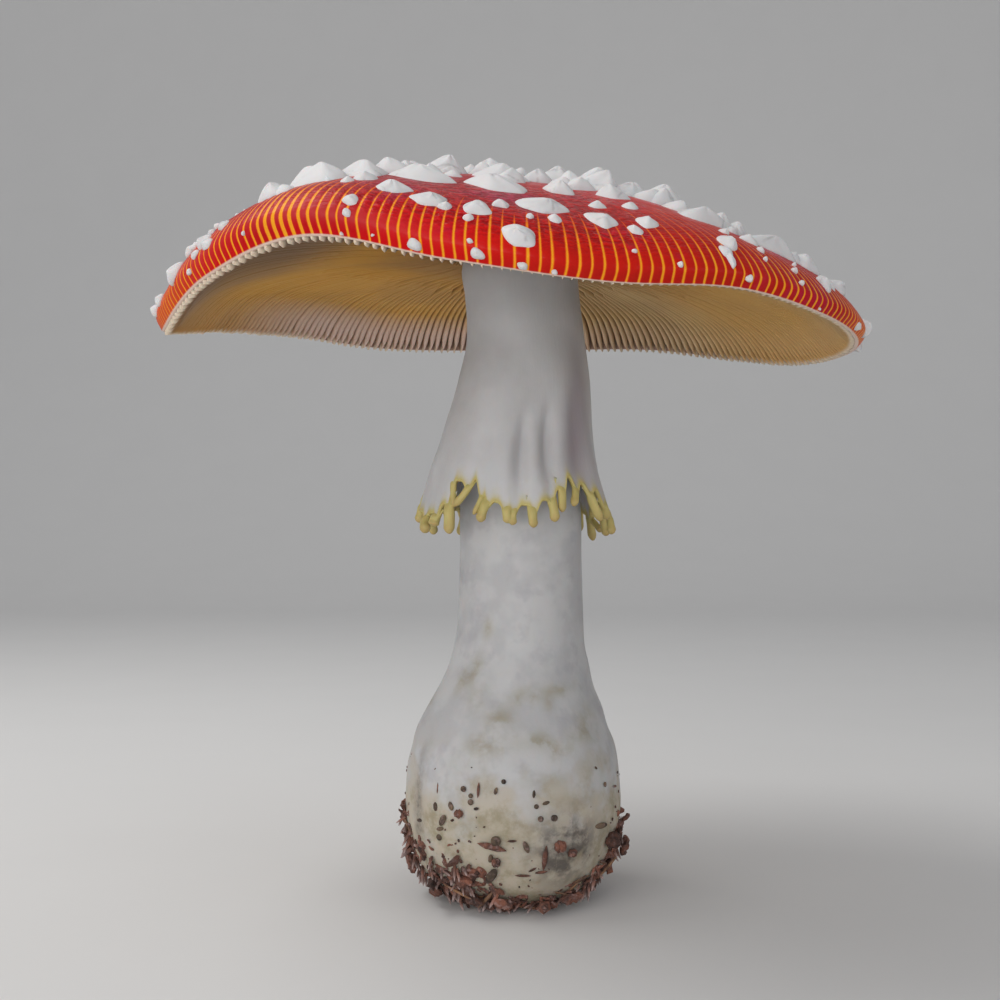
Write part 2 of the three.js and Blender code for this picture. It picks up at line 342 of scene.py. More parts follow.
cap = {
    "rimRadius": 59, "rimCentre": (-0.4, -1), "crown": (1.4, 0.5, 121.8), "crownSlope": (-0.068, 0.04),
    "waveGrowth": 2.5,
    "rimHeights": [
        94, 94.4, 97.2, 100.4, 101.2, 101.1, 101, 102.2, 101.2, 98.4, 96.6, 101.7, 105.2, 100.7, 97.8,
        98.1, 96.2, 94.7],
    # reach from crown to rim and rise from rim to crown: the skin, the rim's lip and the flesh beneath
    "skin": [
        (0, 1), (0.28, 0.985), (0.5, 0.86), (0.7, 0.68), (0.86, 0.49), (0.96, 0.32), (1.015, 0.12),
        (1, 0)],
    "lip": [(0.988, -0.008), (0.995, -0.009)],
    "flesh": [
        (0, 0.78), (0.18, 0.78), (0.3, 0.77), (0.5, 0.7), (0.69, 0.56), (0.84, 0.4), (0.93, 0.25),
        (0.982, 0.08), (0.985, 0)],
    "skinRows": 38, "crownRows": 6, "fleshRows": 13,
    # stripes stray by stripeJitter of their spacing, begin startJitter higher or lower, and vary in breadth
    "stripeJitter": 0.035, "startJitter": 0.03, "breadths": (0.85, 1.15),
    "stripes": 238, "columnsPerStripe": 6, "grooveDepth": 0.08, "grooveHalf": 0.17, "lumps": 0.14,
    # by degrees: relative spacing, where the stripes begin and how broad they are
    "stripeSpacing": [
        (0, 1), (185, 1), (207, 0.82), (226, 0.82), (238, 0.9), (255, 0.89), (266, 0.98), (282, 1.07),
        (300, 0.98), (320, 1.05), (340, 1.1)],
    "stripeStart": [
        (180, 0.5), (232, 0.48), (244, 0.55), (258, 0.6), (272, 0.62), (284, 0.56), (297, 0.42),
        (320, 0.42), (345, 0.5)],
    "stripeHalf": [
        (180, 0.12), (224, 0.13), (231, 0.15), (235, 0.24), (239, 0.23), (243, 0.16), (250, 0.14),
        (285, 0.13), (320, 0.15), (345, 0.2)],
    # the stripes' soft edge, their orange edge and their raggedness, as shares of the spacing
    "stripeBlur": 0.05, "orangeEdge": 0.11, "raggedness": 0.06,
    # painted sheen on the skin, a dusty rose that stands in for the soft light's reflection: degrees, share
    # down, half breadths in degrees and in share, strength
    "blooms": [
        (233, 0.62, 16, 0.13, 0.55), (262, 0.5, 16, 0.16, 0.3), (216, 0.84, 9, 0.08, 0.35),
        (243, 0.86, 14, 0.05, 0.3), (70, 0.6, 30, 0.16, 0.3), (140, 0.55, 30, 0.16, 0.3)],
    # how strongly the upper skin is pitted, by degrees, then the strength of the painted shade in the pits
    # and their grain's stretch
    "pitted": [
        (20, 0.5), (150, 0.5), (200, 0.35), (232, 0.5), (246, 0.8), (262, 1), (280, 1), (291, 0.5),
        (300, 0.25), (345, 0.2)],
    "pitStrength": 0.66, "grainStretch": 1.5,
    # the skin turns warmer well to either side of this bearing, by at most "warmest"
    "coolBearing": 272, "warmest": 0.9,
    "red": (0.58, 0.002, 0.005), "darkRed": (0.42, 0.002, 0.006), "magenta": (0.42, 0.006, 0.07),
    "vermilion": (0.62, 0.075, 0.005), "bloomColour": (0.42, 0.1, 0.105), "pitColour": (0.2, 0.001, 0.004),
    "yellow": (0.82, 0.34, 0.015), "orange": (0.76, 0.1, 0.008),
    "lipColour": (0.8, 0.6, 0.5), "fleshColour": (0.4, 0.27, 0.22),
}
meanRim = float(np.mean(cap["rimHeights"]))


# angles of evenly counted shares of a turn when neighbours stand apart by the table's relative spacing
def unevenAngle(table, share):
    degrees = np.linspace(0, 360, 721)
    run = np.cumsum(1 / roundTable(table, np.radians(degrees)))
    within = np.interp(share % 1, (run - run[0]) / (run[-1] - run[0]), degrees)
    return np.radians(within) + turn * np.floor(share)


# crown to rim circle along an angle: -d + sqrt(d^2 - |offset|^2 + R^2), where d is the offset along it
def rimReach(angle):
    offset = np.array(cap["crown"][:2]) - np.array(cap["rimCentre"])
    along = offset[0] * np.cos(angle) + offset[1] * np.sin(angle)
    return -along + np.sqrt(along ** 2 - offset @ offset + cap["rimRadius"] ** 2)


# reach 0 to 1 goes from crown to rim, rise 1 to 0 from the crown's sloping plane to the mean rim:
# z = mean + (crown plane - mean) rise + (rim height - mean) reach^growth
def capPoint(angle, reach, rise):
    angle, reach, rise = np.broadcast_arrays(angle, reach, rise)
    radius = rimReach(angle) * reach
    x, y = radius * np.cos(angle), radius * np.sin(angle)
    plane = cap["crown"][2] + cap["crownSlope"][0] * x + cap["crownSlope"][1] * y
    wave = (ringValue(cap["rimHeights"], angle) - meanRim) * reach ** cap["waveGrowth"]
    return np.stack([cap["crown"][0] + x, cap["crown"][1] + y, meanRim + (plane - meanRim) * rise + wave], -1)


# a point on the skin, a share of the way down from crown to rim
def skinPoint(angle, down):
    row = rowValue(cap["skin"], down)
    return capPoint(angle, row[..., 0], row[..., 1])


# outward unit normal and the mm per unit of angle and of down, from small steps on the skin
def skinFrame(angle, down):
    step = 0.004
    around = (skinPoint(angle + step, down) - skinPoint(angle - step, down)) / (2 * step)
    low, high = np.maximum(down - step, 0), np.minimum(down + step, 1)
    downhill = (skinPoint(angle, high) - skinPoint(angle, low)) / (high - low)[..., None]
    normal = np.cross(downhill, around)
    return normal / np.linalg.norm(normal, axis=-1, keepdims=True), around, downhill


# zone is 0 at the crown and 1 at the rim, above 1 on the lip and above 1.15 on the flesh; stripe is the
# distance from a stripe's middle in shares of the stripes' spacing, and half is its half breadth
def skinMaterial():
    material = newMaterial("capSkin", Coat_Weight=0.045, Coat_Roughness=0.15, Specular_IOR_Level=0.06)
    at, zone, half = place(material), reading(material, "zone"), reading(material, "half")
    broad = spread(noise(at, 38, 3), 0.38, 0.62)
    patchy = spread(noise(at, 75, 4, 0.6), 0.52, 0.7, 0.0, 0.9)
    red = mixed(patchy, mixed(broad, cap["darkRed"], cap["red"]), cap["magenta"])
    red = mixed(reading(material, "warm"), red, cap["vermilion"])
    # painted sheen: a dusty rose mixed over the red where the light's reflection would fall
    red = mixed(reading(material, "bloom"), red, cap["bloomColour"])
    dashes = noise(reading(material, "grain", "Vector"), 760, 2, 0.5)
    upper = times(spread(zone, 0.2, 0.45), spread(zone, 0.88, 0.72))
    upper = times(upper, reading(material, "pitted"))
    # painted shade: the pits' dashes darken the red of the upper skin
    pits = times(spread(dashes, 0.6, 0.42), upper)
    red = mixed(times(pits, cap["pitStrength"]), red, cap["pitColour"])
    band = mixed(spread(zone, 0.6, 0.8), cap["orange"], cap["yellow"])
    ragged = times(minus(noise(at, 900, 2), 0.5), cap["raggedness"])
    edge = plus(reading(material, "stripe"), ragged)
    low, high = minus(half, cap["stripeBlur"]), plus(half, cap["stripeBlur"])
    outer = minus(1.0, spread(edge, low, high))
    inner = minus(1.0, spread(edge, minus(half, cap["orangeEdge"]), half))
    skin = mixed(inner, mixed(outer, red, cap["orange"]), band)
    lip = mixed(spread(zone, 1.0, 1.04), skin, cap["lipColour"])
    colour = mixed(spread(zone, 1.12, 1.2), lip, cap["fleshColour"])
    relief = times(dashes, plus(times(upper, 2.2), 0.1))
    height = plus(relief, times(noise(at, 300, 2), 0.3))
    return finishMaterial(material, colour, height, 0.3, spread(noise(at, 160, 3), 0.3, 0.7, 0.26, 0.4))


# rows go from the underside's middle out, round the lip and up the skin to the crown; each column
# lies at a fixed share between two stripes, and grooves follow depth exp(-(share / width)^2)
def makeCap():
    rng = np.random.default_rng(4)
    per, stripes = cap["columnsPerStripe"], cap["stripes"]
    column = np.arange(stripes * per)
    beside = np.minimum(column % per, per - column % per) / per
    ofStripe = column / per
    drawn = [rng.normal(0, cap[key], stripes) for key in ("stripeJitter", "startJitter")]
    drawn.append(rng.uniform(*cap["breadths"], stripes))
    jitter, start, breadth = (np.interp(ofStripe, np.arange(stripes), each, period=stripes) for each in drawn)
    angle = unevenAngle(cap["stripeSpacing"], (ofStripe + jitter) / stripes)
    start = start + roundTable(cap["stripeStart"], angle)
    downs = np.concatenate([np.linspace(1, 0.26, cap["skinRows"]), np.linspace(0.22, 0.03, cap["crownRows"])])
    fleshRows = rowValue(cap["flesh"], np.linspace(0.08, 1, cap["fleshRows"]))
    rows = np.concatenate([fleshRows, cap["lip"], rowValue(cap["skin"], downs)])
    zone = np.concatenate([np.linspace(2, 1.3, cap["fleshRows"]), [1.15, 1.05], downs])[:, None]
    wander = 0.15 * ripple(angle, zone * 5, 11, 14, 1.0) * turn / stripes * easeStep(zone, 1.05, 0.9)
    points = capPoint(angle + wander, rows[:, :1], rows[:, 1:])
    grown = easeStep(zone, start, start + 0.3) * (zone <= 1)
    widest = roundTable(cap["stripeHalf"], angle) * breadth
    half = widest * (0.5 + 0.5 * easeStep(zone, 0.55, 0.9)) * easeStep(zone, start - 0.03, start + 0.1)
    half = half - cap["stripeBlur"] * (half < 0.01)
    groove = cap["grooveDepth"] * grown * np.exp(-(beside / cap["grooveHalf"]) ** 2)
    lumps = cap["lumps"] * ripple(angle, zone * 4, 5, 9, 1.5) * easeStep(zone, 1.0, 0.85)
    lumps = lumps * easeStep(zone, 0.0, 0.4)
    turned = np.abs(degreesPast(angle, cap["coolBearing"]))
    warm = easeStep(turned, 50, 72) * easeStep(turned, 150, 100) * easeStep(zone, 0.3, 0.8)
    warm = warm + 0.12 * easeStep(ripple(angle, zone * 3, 6, 4, 1.0), 0.2, 1.4) * easeStep(zone, 0.05, 0.3)
    points += gridNormals(points) * (lumps - groove)[..., None]
    shape = (1, *points.shape[:2])
    values = perVertex(shape, zone=zone, stripe=beside, half=half, warm=np.clip(warm, 0, cap["warmest"]),
                       bloom=marks(cap["blooms"], angle, zone), pitted=roundTable(cap["pitted"], angle))
    values["zone"][-1] = 0
    # the pits' grain lies on a drum, where it keeps its stretch down to the rim
    drum = perVertex(shape, x=np.cos(angle), y=np.sin(angle), z=cap["grainStretch"] * zone)
    values["grain"] = np.stack(list(drum.values()), -1) * cap["rimRadius"] * mm
    middle = capPoint(0.0, 0.0, np.array([rows[0, 1], 1.0]))
    body = closedBodies(points[None], middle[:1], middle[1:])
    makePiece("capDome", body, skinMaterial(), "red_skin", ["cap"], **values)


makeCap()
print("cap made")


gills = {
    "count": 260, "steps": 30, "inner": 0.19, "shortInner": 0.42, "outer": 0.991,
    # rise of the roots into the flesh, and the reaches over which blades turn into teeth and teeth hang
    "rootRise": 0.012, "toothFrom": (0.944, 0.962), "hangFrom": (0.96, 0.982),
    # the free edge, as reach and rise, and a blade's section, as share of the half thickness and depth
    "edge": [
        (0.19, 0.66), (0.22, 0.54), (0.32, 0.48), (0.5, 0.44), (0.7, 0.355), (0.84, 0.25), (0.92, 0.11),
        (0.96, 0), (0.991, -0.004)],
    "section": [
        (-1, 0), (-1, 0.72), (-1, 0.88), (-0.8, 0.97), (0, 1), (0.8, 0.97), (1, 0.88), (1, 0.72), (1, 0)],
    # how deep the blades close up on their neighbours, as a share of their depth and of the gap
    "wedge": 0.8,
    # half thickness in mm by reach, and a tooth's share of it by depth
    "half": [
        (0.19, 0.06), (0.35, 0.11), (0.6, 0.15), (0.85, 0.16), (0.93, 0.16), (0.95, 0.28), (0.991, 0.3)],
    "toothTaper": [(0, 1), (0.3, 1), (0.72, 0.55), (0.88, 0.3), (1, 0.03)],
    # by degrees: relative spacing and the share of the gap closed up over the outer part
    "spacing": [
        (0, 1), (25, 1), (45, 1.05), (72, 1), (86, 0.97), (100, 0.95), (180, 0.93), (225, 0.9),
        (265, 0.89), (300, 0.95)],
    "filled": [
        (0, 0.7), (25, 0.35), (50, 0.1), (80, 0.2), (92, 0.45), (106, 0.62), (130, 0.8), (200, 0.85),
        (250, 0.85), (300, 0.95), (340, 0.95)],
    # by degrees: half breadth and hang of the tooth at the rim in mm
    "endHalf": [
        (0, 0.4), (40, 0.34), (90, 0.3), (150, 0.3), (185, 0.48), (210, 0.4), (236, 0.34), (246, 0.3),
        (258, 0.3), (270, 0.18), (285, 0.15), (300, 0.5), (340, 0.6)],
    "endHang": [
        (0, 0.3), (40, 0.75), (90, 0.6), (150, 0.6), (185, 0.55), (222, 0.65), (245, 0.72), (258, 0.55),
        (270, 0.3), (284, 0.3), (292, 0.1), (300, 0), (340, 0.1)],
    # by degrees: how golden the edges are, how much painted shade darkens them near the rim, and how mauve
    "golden": [
        (0, 0.8), (28, 0.7), (50, 0.25), (80, 0.4), (110, 0.9), (150, 1), (235, 1), (285, 0.1), (330, 0.35)],
    "shade": [(0, 0), (170, 0), (210, 0.9), (260, 1), (300, 0.5), (345, 0.1)],
    "mauve": [
        (0, 0.1), (40, 0.1), (92, 0.8), (105, 1), (138, 1), (150, 0.6), (162, 0.15), (188, 0.1), (340, 0)],
    "gold": (0.6, 0.31, 0.045), "tan": (0.6, 0.45, 0.24), "brown": (0.29, 0.17, 0.08),
    "umber": (0.15, 0.095, 0.065), "margin": (0.54, 0.4, 0.35), "pale": (0.66, 0.5, 0.44),
    "ends": (0.72, 0.6, 0.46),
}


# depth is 0 at the flesh and 1 at a blade's free edge, and reach is 0 at the crown and 1 at the rim
def gillMaterial():
    material = newMaterial("gillBlades", Roughness=0.62, Subsurface_Weight=0.1, Subsurface_Scale=0.001)
    at, depth, reach = place(material), reading(material, "depth"), reading(material, "reach")
    edge = mixed(reading(material, "golden"), gills["tan"], gills["gold"])
    edge = mixed(spread(noise(at, 45, 3), 0.4, 0.7, 0.0, 0.3), edge, gills["brown"])
    # painted shade: umber mixed into the edges towards the rim, most on the front-left
    near = times(reading(material, "shade"), spread(reach, 0.4, 0.72))
    edge = mixed(times(near, 0.92), edge, gills["umber"])
    # painted shade: the edges turn brown towards the stem, where the cap's underside lies in shadow
    edge = mixed(spread(reach, 0.52, 0.26, 0.0, 0.62), edge, gills["brown"])
    face = mixed(0.35, edge, gills["brown"])
    far = times(reading(material, "mauve"), spread(reach, 0.82, 0.94))
    face = mixed(times(far, 0.6), face, gills["margin"])
    edge = mixed(times(far, 0.9), edge, gills["pale"])
    colour = mixed(spread(depth, 0.78, 1.0), face, edge)
    colour = mixed(spread(reach, 0.966, 0.98), colour, gills["ends"])
    return finishMaterial(material, colour, noise(at, 900, 3), 0.04)


# a blade hangs from the flesh to the edge line: at reach s and depth d its height is the mix of the two
# lines, and its sides stand off by the section's share of the half thickness at that reach
def makeGills():
    rng = np.random.default_rng(7)
    count = gills["count"]
    number = np.arange(count)
    isLong = number % 2 == 0
    inner = np.where(isLong, gills["inner"], gills["shortInner"] + rng.uniform(-0.07, 0.1, count))
    t = np.linspace(0, 1, gills["steps"]) ** 0.75
    reach = inner[:, None] + (gills["outer"] - inner[:, None]) * t
    fine = np.linspace(0, 1, 400)
    root = np.interp(reach, *rowValue(cap["flesh"], fine).T) + gills["rootRise"]
    edge = np.interp(reach, *rowValue(gills["edge"], fine).T)
    taper = np.where(isLong[:, None], 1, easeStep(t, -0.03, 0.25))
    edge = root + (edge - root) * taper * (1 + 0.012 * rng.normal(size=(count, 1)))
    angle = unevenAngle(gills["spacing"], (number + rng.normal(0, 0.05, count)) / count)[:, None]
    sway = 0.1 * ripple(angle, reach * 3, 21, 12, 1.0) * turn / count
    byAngle = ("spacing", "filled", "endHalf", "endHang", "golden", "shade", "mauve")
    tables = {key: roundTable(gills[key], angle) for key in byAngle}
    apart = tables["spacing"]
    pitch = turn * cap["rimRadius"] * reach / count * apart
    half = np.interp(reach, *np.array(gills["half"]).T) * apart ** 0.7
    half = np.maximum(half, 0.5 * pitch * (tables["filled"] * easeStep(reach, 0.3, 0.6)))
    # the outer ends: teeth that hang past the rim and taper downwards
    atRim, toothed = easeStep(reach, *gills["hangFrom"]), easeStep(reach, *gills["toothFrom"])
    half = half + (tables["endHalf"] * apart ** 0.5 - half) * atRim
    hang = tables["endHang"] / (cap["crown"][2] - meanRim) * atRim * rng.uniform(0.85, 1.1, (count, 1))
    edge = edge - hang
    across, depth = np.array(gills["section"]).T
    closing = np.clip((1 - depth) / (1 - gills["wedge"]), 0, 1)
    swell = ((0.5 * pitch - half) * (1 - toothed))[..., None] * closing * gills["wedge"]
    pointed = 1 + (np.interp(depth, *np.array(gills["toothTaper"]).T) - 1) * toothed[..., None]
    aside = (half[..., None] * pointed + swell) / (rimReach(angle) * reach)[..., None] * across
    rise = root[..., None] + (edge - root)[..., None] * depth
    points = capPoint((angle + sway)[..., None] + aside, reach[..., None], rise)
    ends = points[:, [0, -1]].mean(2)
    values = perVertex(rise.shape, depth=depth, reach=reach[..., None],
                       **{key: tables[key][..., None] for key in ("golden", "shade", "mauve")})
    body = closedBodies(points, ends[:, 0], ends[:, 1])
    makePiece("gillBlades", body, gillMaterial(), "gills", ["gills"], **values)


makeGills()
print("gills made")


stem = {
    # the axis as height, x and y, and the profile as height and radius
    "axis": [
        (0, 0, 0), (16, 0.2, 0), (30, 0.1, 0), (42, 1.2, 0), (56, 1.5, 0.1), (75, 1.6, 0.3), (90, 2.2, 0.5),
        (96, 2.4, 0.5), (104, 1.8, 0.5), (108, 1.5, 0.5), (122, 1.4, 0.5)],
    "profile": [
        (0, 9), (1.2, 11.6), (4, 15), (8, 17.3), (13, 18.6), (18, 18.8), (25, 18), (31, 15.8), (37, 13.1),
        (44, 11.2), (55, 10.7), (66, 10.6), (78, 10.1), (86, 9.4), (92, 9.1), (100, 9), (118, 9)],
    "columns": 288, "rows": 200, "bulbRows": 50, "foot": 0.2, "bulbTop": 20, "top": 117.6,
    # how far swellings, scale rings, fibres and tan marks stand out
    "swelling": 0.22, "scales": 0.14, "fibres": 0.03, "markRise": 0.12,
    # soft tan marks: degrees, height, half breadth in degrees, half height, strength
    "blotches": [
        (275, 36, 9, 1.3, 1), (261, 32.6, 9, 1.6, 1), (243, 35.5, 8, 2, 0.7), (303, 37, 18, 1, 0.9),
        (253, 28.5, 10, 1.8, 0.9), (271, 28.8, 9, 1.6, 0.9), (284, 29, 9, 1.4, 1),
        (296, 27.5, 9, 1.6, 0.9), (312, 30, 9, 1.6, 0.8), (232, 40, 6, 2.4, 1), (238, 47, 6, 1.6, 0.9),
        (325, 31, 10, 3, 0.8), (292, 35, 4, 1.4, 0.7), (222, 38, 6, 2, 1), (245, 25, 10, 1.6, 0.6),
        (300, 19.5, 14, 1.2, 0.8), (254, 16.5, 10, 1.2, 0.9), (265, 14, 10, 1.4, 0.6),
        (288, 23, 12, 1.4, 0.6), (318, 24, 9, 2, 0.6), (40, 33, 14, 2, 0.9), (75, 28, 12, 2.4, 0.8),
        (110, 35, 14, 1.8, 0.9), (150, 30, 12, 2.2, 0.9), (185, 34, 12, 2, 0.8), (95, 22, 14, 1.6, 0.6),
        (5, 27, 12, 2, 0.8)],
    # dark marks in the same form: a patch and a streak
    "stains": [(298, 11.5, 17, 5.2, 1), (213, 16, 4, 9, 0.6)],
    "white": (0.475, 0.47, 0.47), "cool": (0.415, 0.41, 0.415), "tan": (0.265, 0.228, 0.14),
    "smoke": (0.33, 0.315, 0.34), "cream": (0.46, 0.395, 0.295), "stainColour": (0.09, 0.075, 0.065),
}


# a point at a radius along the angle from a bent axis, whose x follows the rows and y the stem's axis
def offAxis(rows, radius, angle, z):
    x = smoothTable(rows, z) + radius * np.cos(angle)
    y = smoothTable(stem["axis"], z, 2) + radius * np.sin(angle)
    return np.stack([x, y, z], -1)


# a point on the stem: the axis at that height and the profile's radius plus "out" along the angle
def stemPoint(angle, z, out=0.0):
    angle, z, out = np.broadcast_arrays(angle, z, out)
    return offAxis(stem["axis"], smoothTable(stem["profile"], z) + out, angle, z)


# rise is the height in mm: the bulb turns cream and dingy below about 30
def stemMaterial():
    material = newMaterial("stemFlesh", Roughness=0.62, Subsurface_Weight=0.15, Subsurface_Scale=0.002)
    at = place(material)
    cloud = spread(noise(at, 150, 3, 0.55), 0.4, 0.62)
    body = mixed(cloud, stem["cool"], stem["white"])
    body = mixed(spread(noise(at, 210, 3, 0.6), 0.52, 0.68, 0.0, 0.4), body, stem["smoke"])
    low = spread(plus(reading(material, "rise"), times(cloud, 9.0)), 33, 14)
    body = mixed(times(low, 0.85), body, stem["cream"])
    dingy = spread(noise(at, 210, 5, 0.7), 0.44, 0.7, 0.0, 0.85)
    body = mixed(times(dingy, low), body, stem["tan"])
    ragged = spread(noise(at, 260, 4, 0.6), 0.4, 0.6, 0.3, 0.95)
    body = mixed(times(reading(material, "blotch"), times(ragged, 0.72)), body, stem["tan"])
    patch = spread(noise(at, 330, 5, 0.65), 0.36, 0.6, 0.3, 1.0)
    body = mixed(times(reading(material, "stain"), patch), body, stem["stainColour"])
    height = plus(noise(at, 260, 3), times(noise(at, 900, 3), 0.4))
    return finishMaterial(material, body, height, 0.1)


# rows climb the axis; the profile's radius takes on broad swellings, soft scale rings round the bulb's
# shoulder, fine fibres and the slight rise of the tan marks
def makeStem():
    angle = evenAngles(stem["columns"])
    bulb = np.linspace(stem["foot"], stem["bulbTop"], stem["bulbRows"])
    shaft = np.linspace(stem["bulbTop"] + 0.5, stem["top"], stem["rows"] - stem["bulbRows"])
    z = np.concatenate([bulb, shaft])[:, None]
    out = stem["swelling"] * ripple(angle, z, 31, 4, 0.12) * easeStep(z, 0, 6)
    shoulder = easeStep(z, 22, 27) * easeStep(z, 47, 40)
    out = out + stem["scales"] * shoulder * ripple(angle, z, 32, 9, 0.9)
    out = out + stem["fibres"] * ripple(angle, z, 33, 22, 0.9)
    blotch = marks(stem["blotches"], angle, z)
    points = stemPoint(angle, z, out + stem["markRise"] * np.clip(blotch, 0, 1))
    # the marks of the back are scattered at random
    back = easeStep(np.cos(angle + turn / 4 - math.pi), -0.2, 0.5)
    blotch = blotch + 0.8 * (easeStep(ripple(angle, z, 34, 7, 0.55), 0.9, 1.8) * shoulder * back)
    stain = np.minimum(1.5 * marks(stem["stains"], angle, z), 0.95)
    stain = stain + 0.8 * (easeStep(ripple(angle, z, 35, 6, 0.3), 0.8, 1.9) * easeStep(z, 24, 12) * back)
    # the poles stand close to the axis
    foot, top = (stemPoint(0.0, z[row, 0], -stem["profile"][row][1])[None] for row in (0, -1))
    body = closedBodies(points[None], foot, top)
    makePiece("stemBody", body, stemMaterial(), "white_flesh", ["stem"],
              **perVertex((1, *points.shape[:2]), blotch=blotch, stain=stain, rise=z))


makeStem()
print("stem made")


skirt = {
    # height, x of the centre, radius
    "rows": [
        (60, 0.6, 17.8), (65, 0.6, 16.8), (68, 0.5, 16.2), (74, 0.4, 15), (78, 0.7, 13.9), (82, 1.1, 12.9),
        (86, 1.7, 12), (90, 2.2, 11.3), (96, 2.5, 10.3), (104, 1.8, 10), (108.5, 1.3, 10.1),
        (113, 1.3, 9.2)],
    "columns": 840, "outerRows": 60, "innerRows": 20, "thickness": 0.6, "hemSwell": 0.22, "hemLip": 0.28,
    # at each finger the hem hangs to webOverlap below its root, by at most webDepth, all in mm
    "webDepth": 2.5, "webOverlap": 1, "webBreadth": 0.8, "webRadius": 16.2,
    # fold valleys: degrees, depth, half breadth in degrees, height at which they begin
    "folds": [
        (273, 1.9, 5.5, 85), (293, 1.6, 6, 87), (245, 0.3, 8, 88), (318, 0.7, 9, 92), (212, 0.4, 9, 84),
        (350, 0.6, 8, 86), (22, 0.8, 7, 84), (52, 0.6, 6, 88), (80, 0.9, 7, 86), (112, 0.5, 6, 84),
        (138, 0.8, 8, 88), (170, 0.6, 7, 84)],
    # height over which a fold grows to full depth, and the share of its depth left at the hem
    "foldGrowth": 9, "foldAtHem": 0.35,
    # mauve painted shade on the right side and in the front folds: degrees, height, half breadth in degrees,
    # half height, strength
    "shades": [
        (322, 84, 16, 12, 1), (316, 76, 10, 6, 0.5), (272, 79, 4, 5, 0.32), (291, 80, 4, 4.5, 0.28)],
    # hem fingers: root degrees, root height, tip degrees, tip height, radius
    "fingers": [
        (201, 65.9, 207, 63.2, 1.05), (216, 66.2, 215, 64.2, 0.95), (227, 68, 230, 63, 0.95),
        (228.5, 72, 231.5, 67.4, 0.6), (240, 71.2, 232, 67.6, 0.7), (249, 69.6, 245, 66.2, 0.6),
        (254, 68.6, 249, 65, 0.85), (264, 67.6, 265.5, 64.8, 0.75), (269, 67.3, 267.5, 64.5, 0.7),
        (281, 67.5, 280, 64.1, 0.85), (292, 69.1, 293.5, 65, 0.75), (301, 70.8, 299, 66.6, 0.75),
        (313, 70.8, 307, 67.6, 0.7), (325, 70.1, 333, 65, 0.85), (338, 68.3, 347, 65.4, 0.85),
        (42, 67.3, 45, 62.8, 0.7), (36, 67, 34, 61.2, 0.8), (31, 65, 20, 63, 0.6)],
    "fingerSteps": 15, "fingerColumns": 14, "fingerRise": 1.2,
    # heights of the arches between the fingers of the front, by degrees
    "hem": [
        (183, 66.9), (201, 66.6), (210, 66.4), (222, 67.9), (227, 69.6), (229, 71.8), (230.5, 72.8),
        (233, 71.9), (239, 71.9), (245, 72.4), (251, 70.6), (258.5, 68.5), (266.5, 67.9), (275, 68),
        (287, 68.6), (297, 70.4), (301, 71.4), (306.5, 72.8), (318, 71.4), (325, 71), (332, 70),
        (338, 69), (348, 67), (355, 66.2)],
    # the back's fingers: spacing and mean root height, and the span that the list above already fills
    "backSpacing": 12.5, "backRoot": 67.5, "listedBack": (20, 50),
    "white": (0.535, 0.53, 0.535), "mauve": (0.25, 0.21, 0.23), "yellow": (0.5, 0.42, 0.15),
    "tip": (0.4, 0.28, 0.1),
}


# a point on the skirt: its rows give centre and radius at each height, and the fold valleys take
# depth exp(-(turn / breadth)^2) off the radius, growing below the middle and fading towards the hem
def skirtPoint(angle, z, out=0.0):
    angle, z, out = np.broadcast_arrays(angle, z, out)
    radius = smoothTable(skirt["rows"], z, 2) + out
    fading = skirt["foldAtHem"] + (1 - skirt["foldAtHem"]) * easeStep(z, 69, 75)
    for degrees, depth, breadth, top in skirt["folds"]:
        grown = easeStep(z, top, top - skirt["foldGrowth"]) * fading
        radius = radius - depth * np.exp(-(degreesPast(angle, degrees) / breadth) ** 2) * grown
    radius = radius + 0.3 * ripple(angle, z, 41, 6, 0.35) * easeStep(z, 104, 90)
    return offAxis(skirt["rows"], radius, angle, z)


# the listed fingers and hem heights, and the back's, drawn at random at an even spacing where the
# lists say nothing
def wholeHem():
    rng = np.random.default_rng(17)
    fingers, hem = list(skirt["fingers"]), list(skirt["hem"])
    gap = skirt["backSpacing"]
    first, last = skirt["listedBack"]
    for degrees in np.arange(hem[-1][0] + gap / 2, 360 + hem[0][0], gap):
        root = skirt["backRoot"] + 1.8 * math.sin(degrees / 21) + rng.uniform(-0.6, 0.6)
        lean, length, radius = rng.uniform(-5, 5), rng.uniform(2.6, 4.2), rng.uniform(0.7, 0.95)
        hem.append((degrees + gap / 2, root + rng.uniform(0.4, 1.2)))
        if not first < degrees % 360 < last:
            fingers.append((degrees, root, degrees + lean, root - length, radius))
    return fingers, sorted((degrees % 360, height) for degrees, height in hem)


# hem is how yellow the veil is, shade how much painted shade darkens it, and tip runs from 0 at a finger's
# root to 1 at its end
def skirtMaterial():
    material = newMaterial("skirtVeil", Roughness=0.6, Subsurface_Weight=0.12, Subsurface_Scale=0.0015)
    at = place(material)
    cloud = spread(noise(at, 110, 4, 0.55), 0.35, 0.7)
    white = mixed(cloud, tuple(part * 0.9 for part in skirt["white"]), skirt["white"])
    # painted shade: mauve mixed in where the shade marks lie
    body = mixed(times(reading(material, "shade"), 0.8), white, skirt["mauve"])
    ragged = times(minus(noise(at, 700, 3), 0.5), 0.5)
    body = mixed(spread(plus(reading(material, "hem"), ragged), 0.0, 1.0), body, skirt["yellow"])
    browning = plus(reading(material, "tip"), times(ragged, 0.5))
    body = mixed(spread(browning, 0.6, 1.15), body, skirt["tip"])
    fibres = noise(place(material, (1, 1, 0.1)), 1000, 3, 0.6)
    return finishMaterial(material, body, plus(fibres, times(noise(at, 420, 4), 0.9)), 0.06)


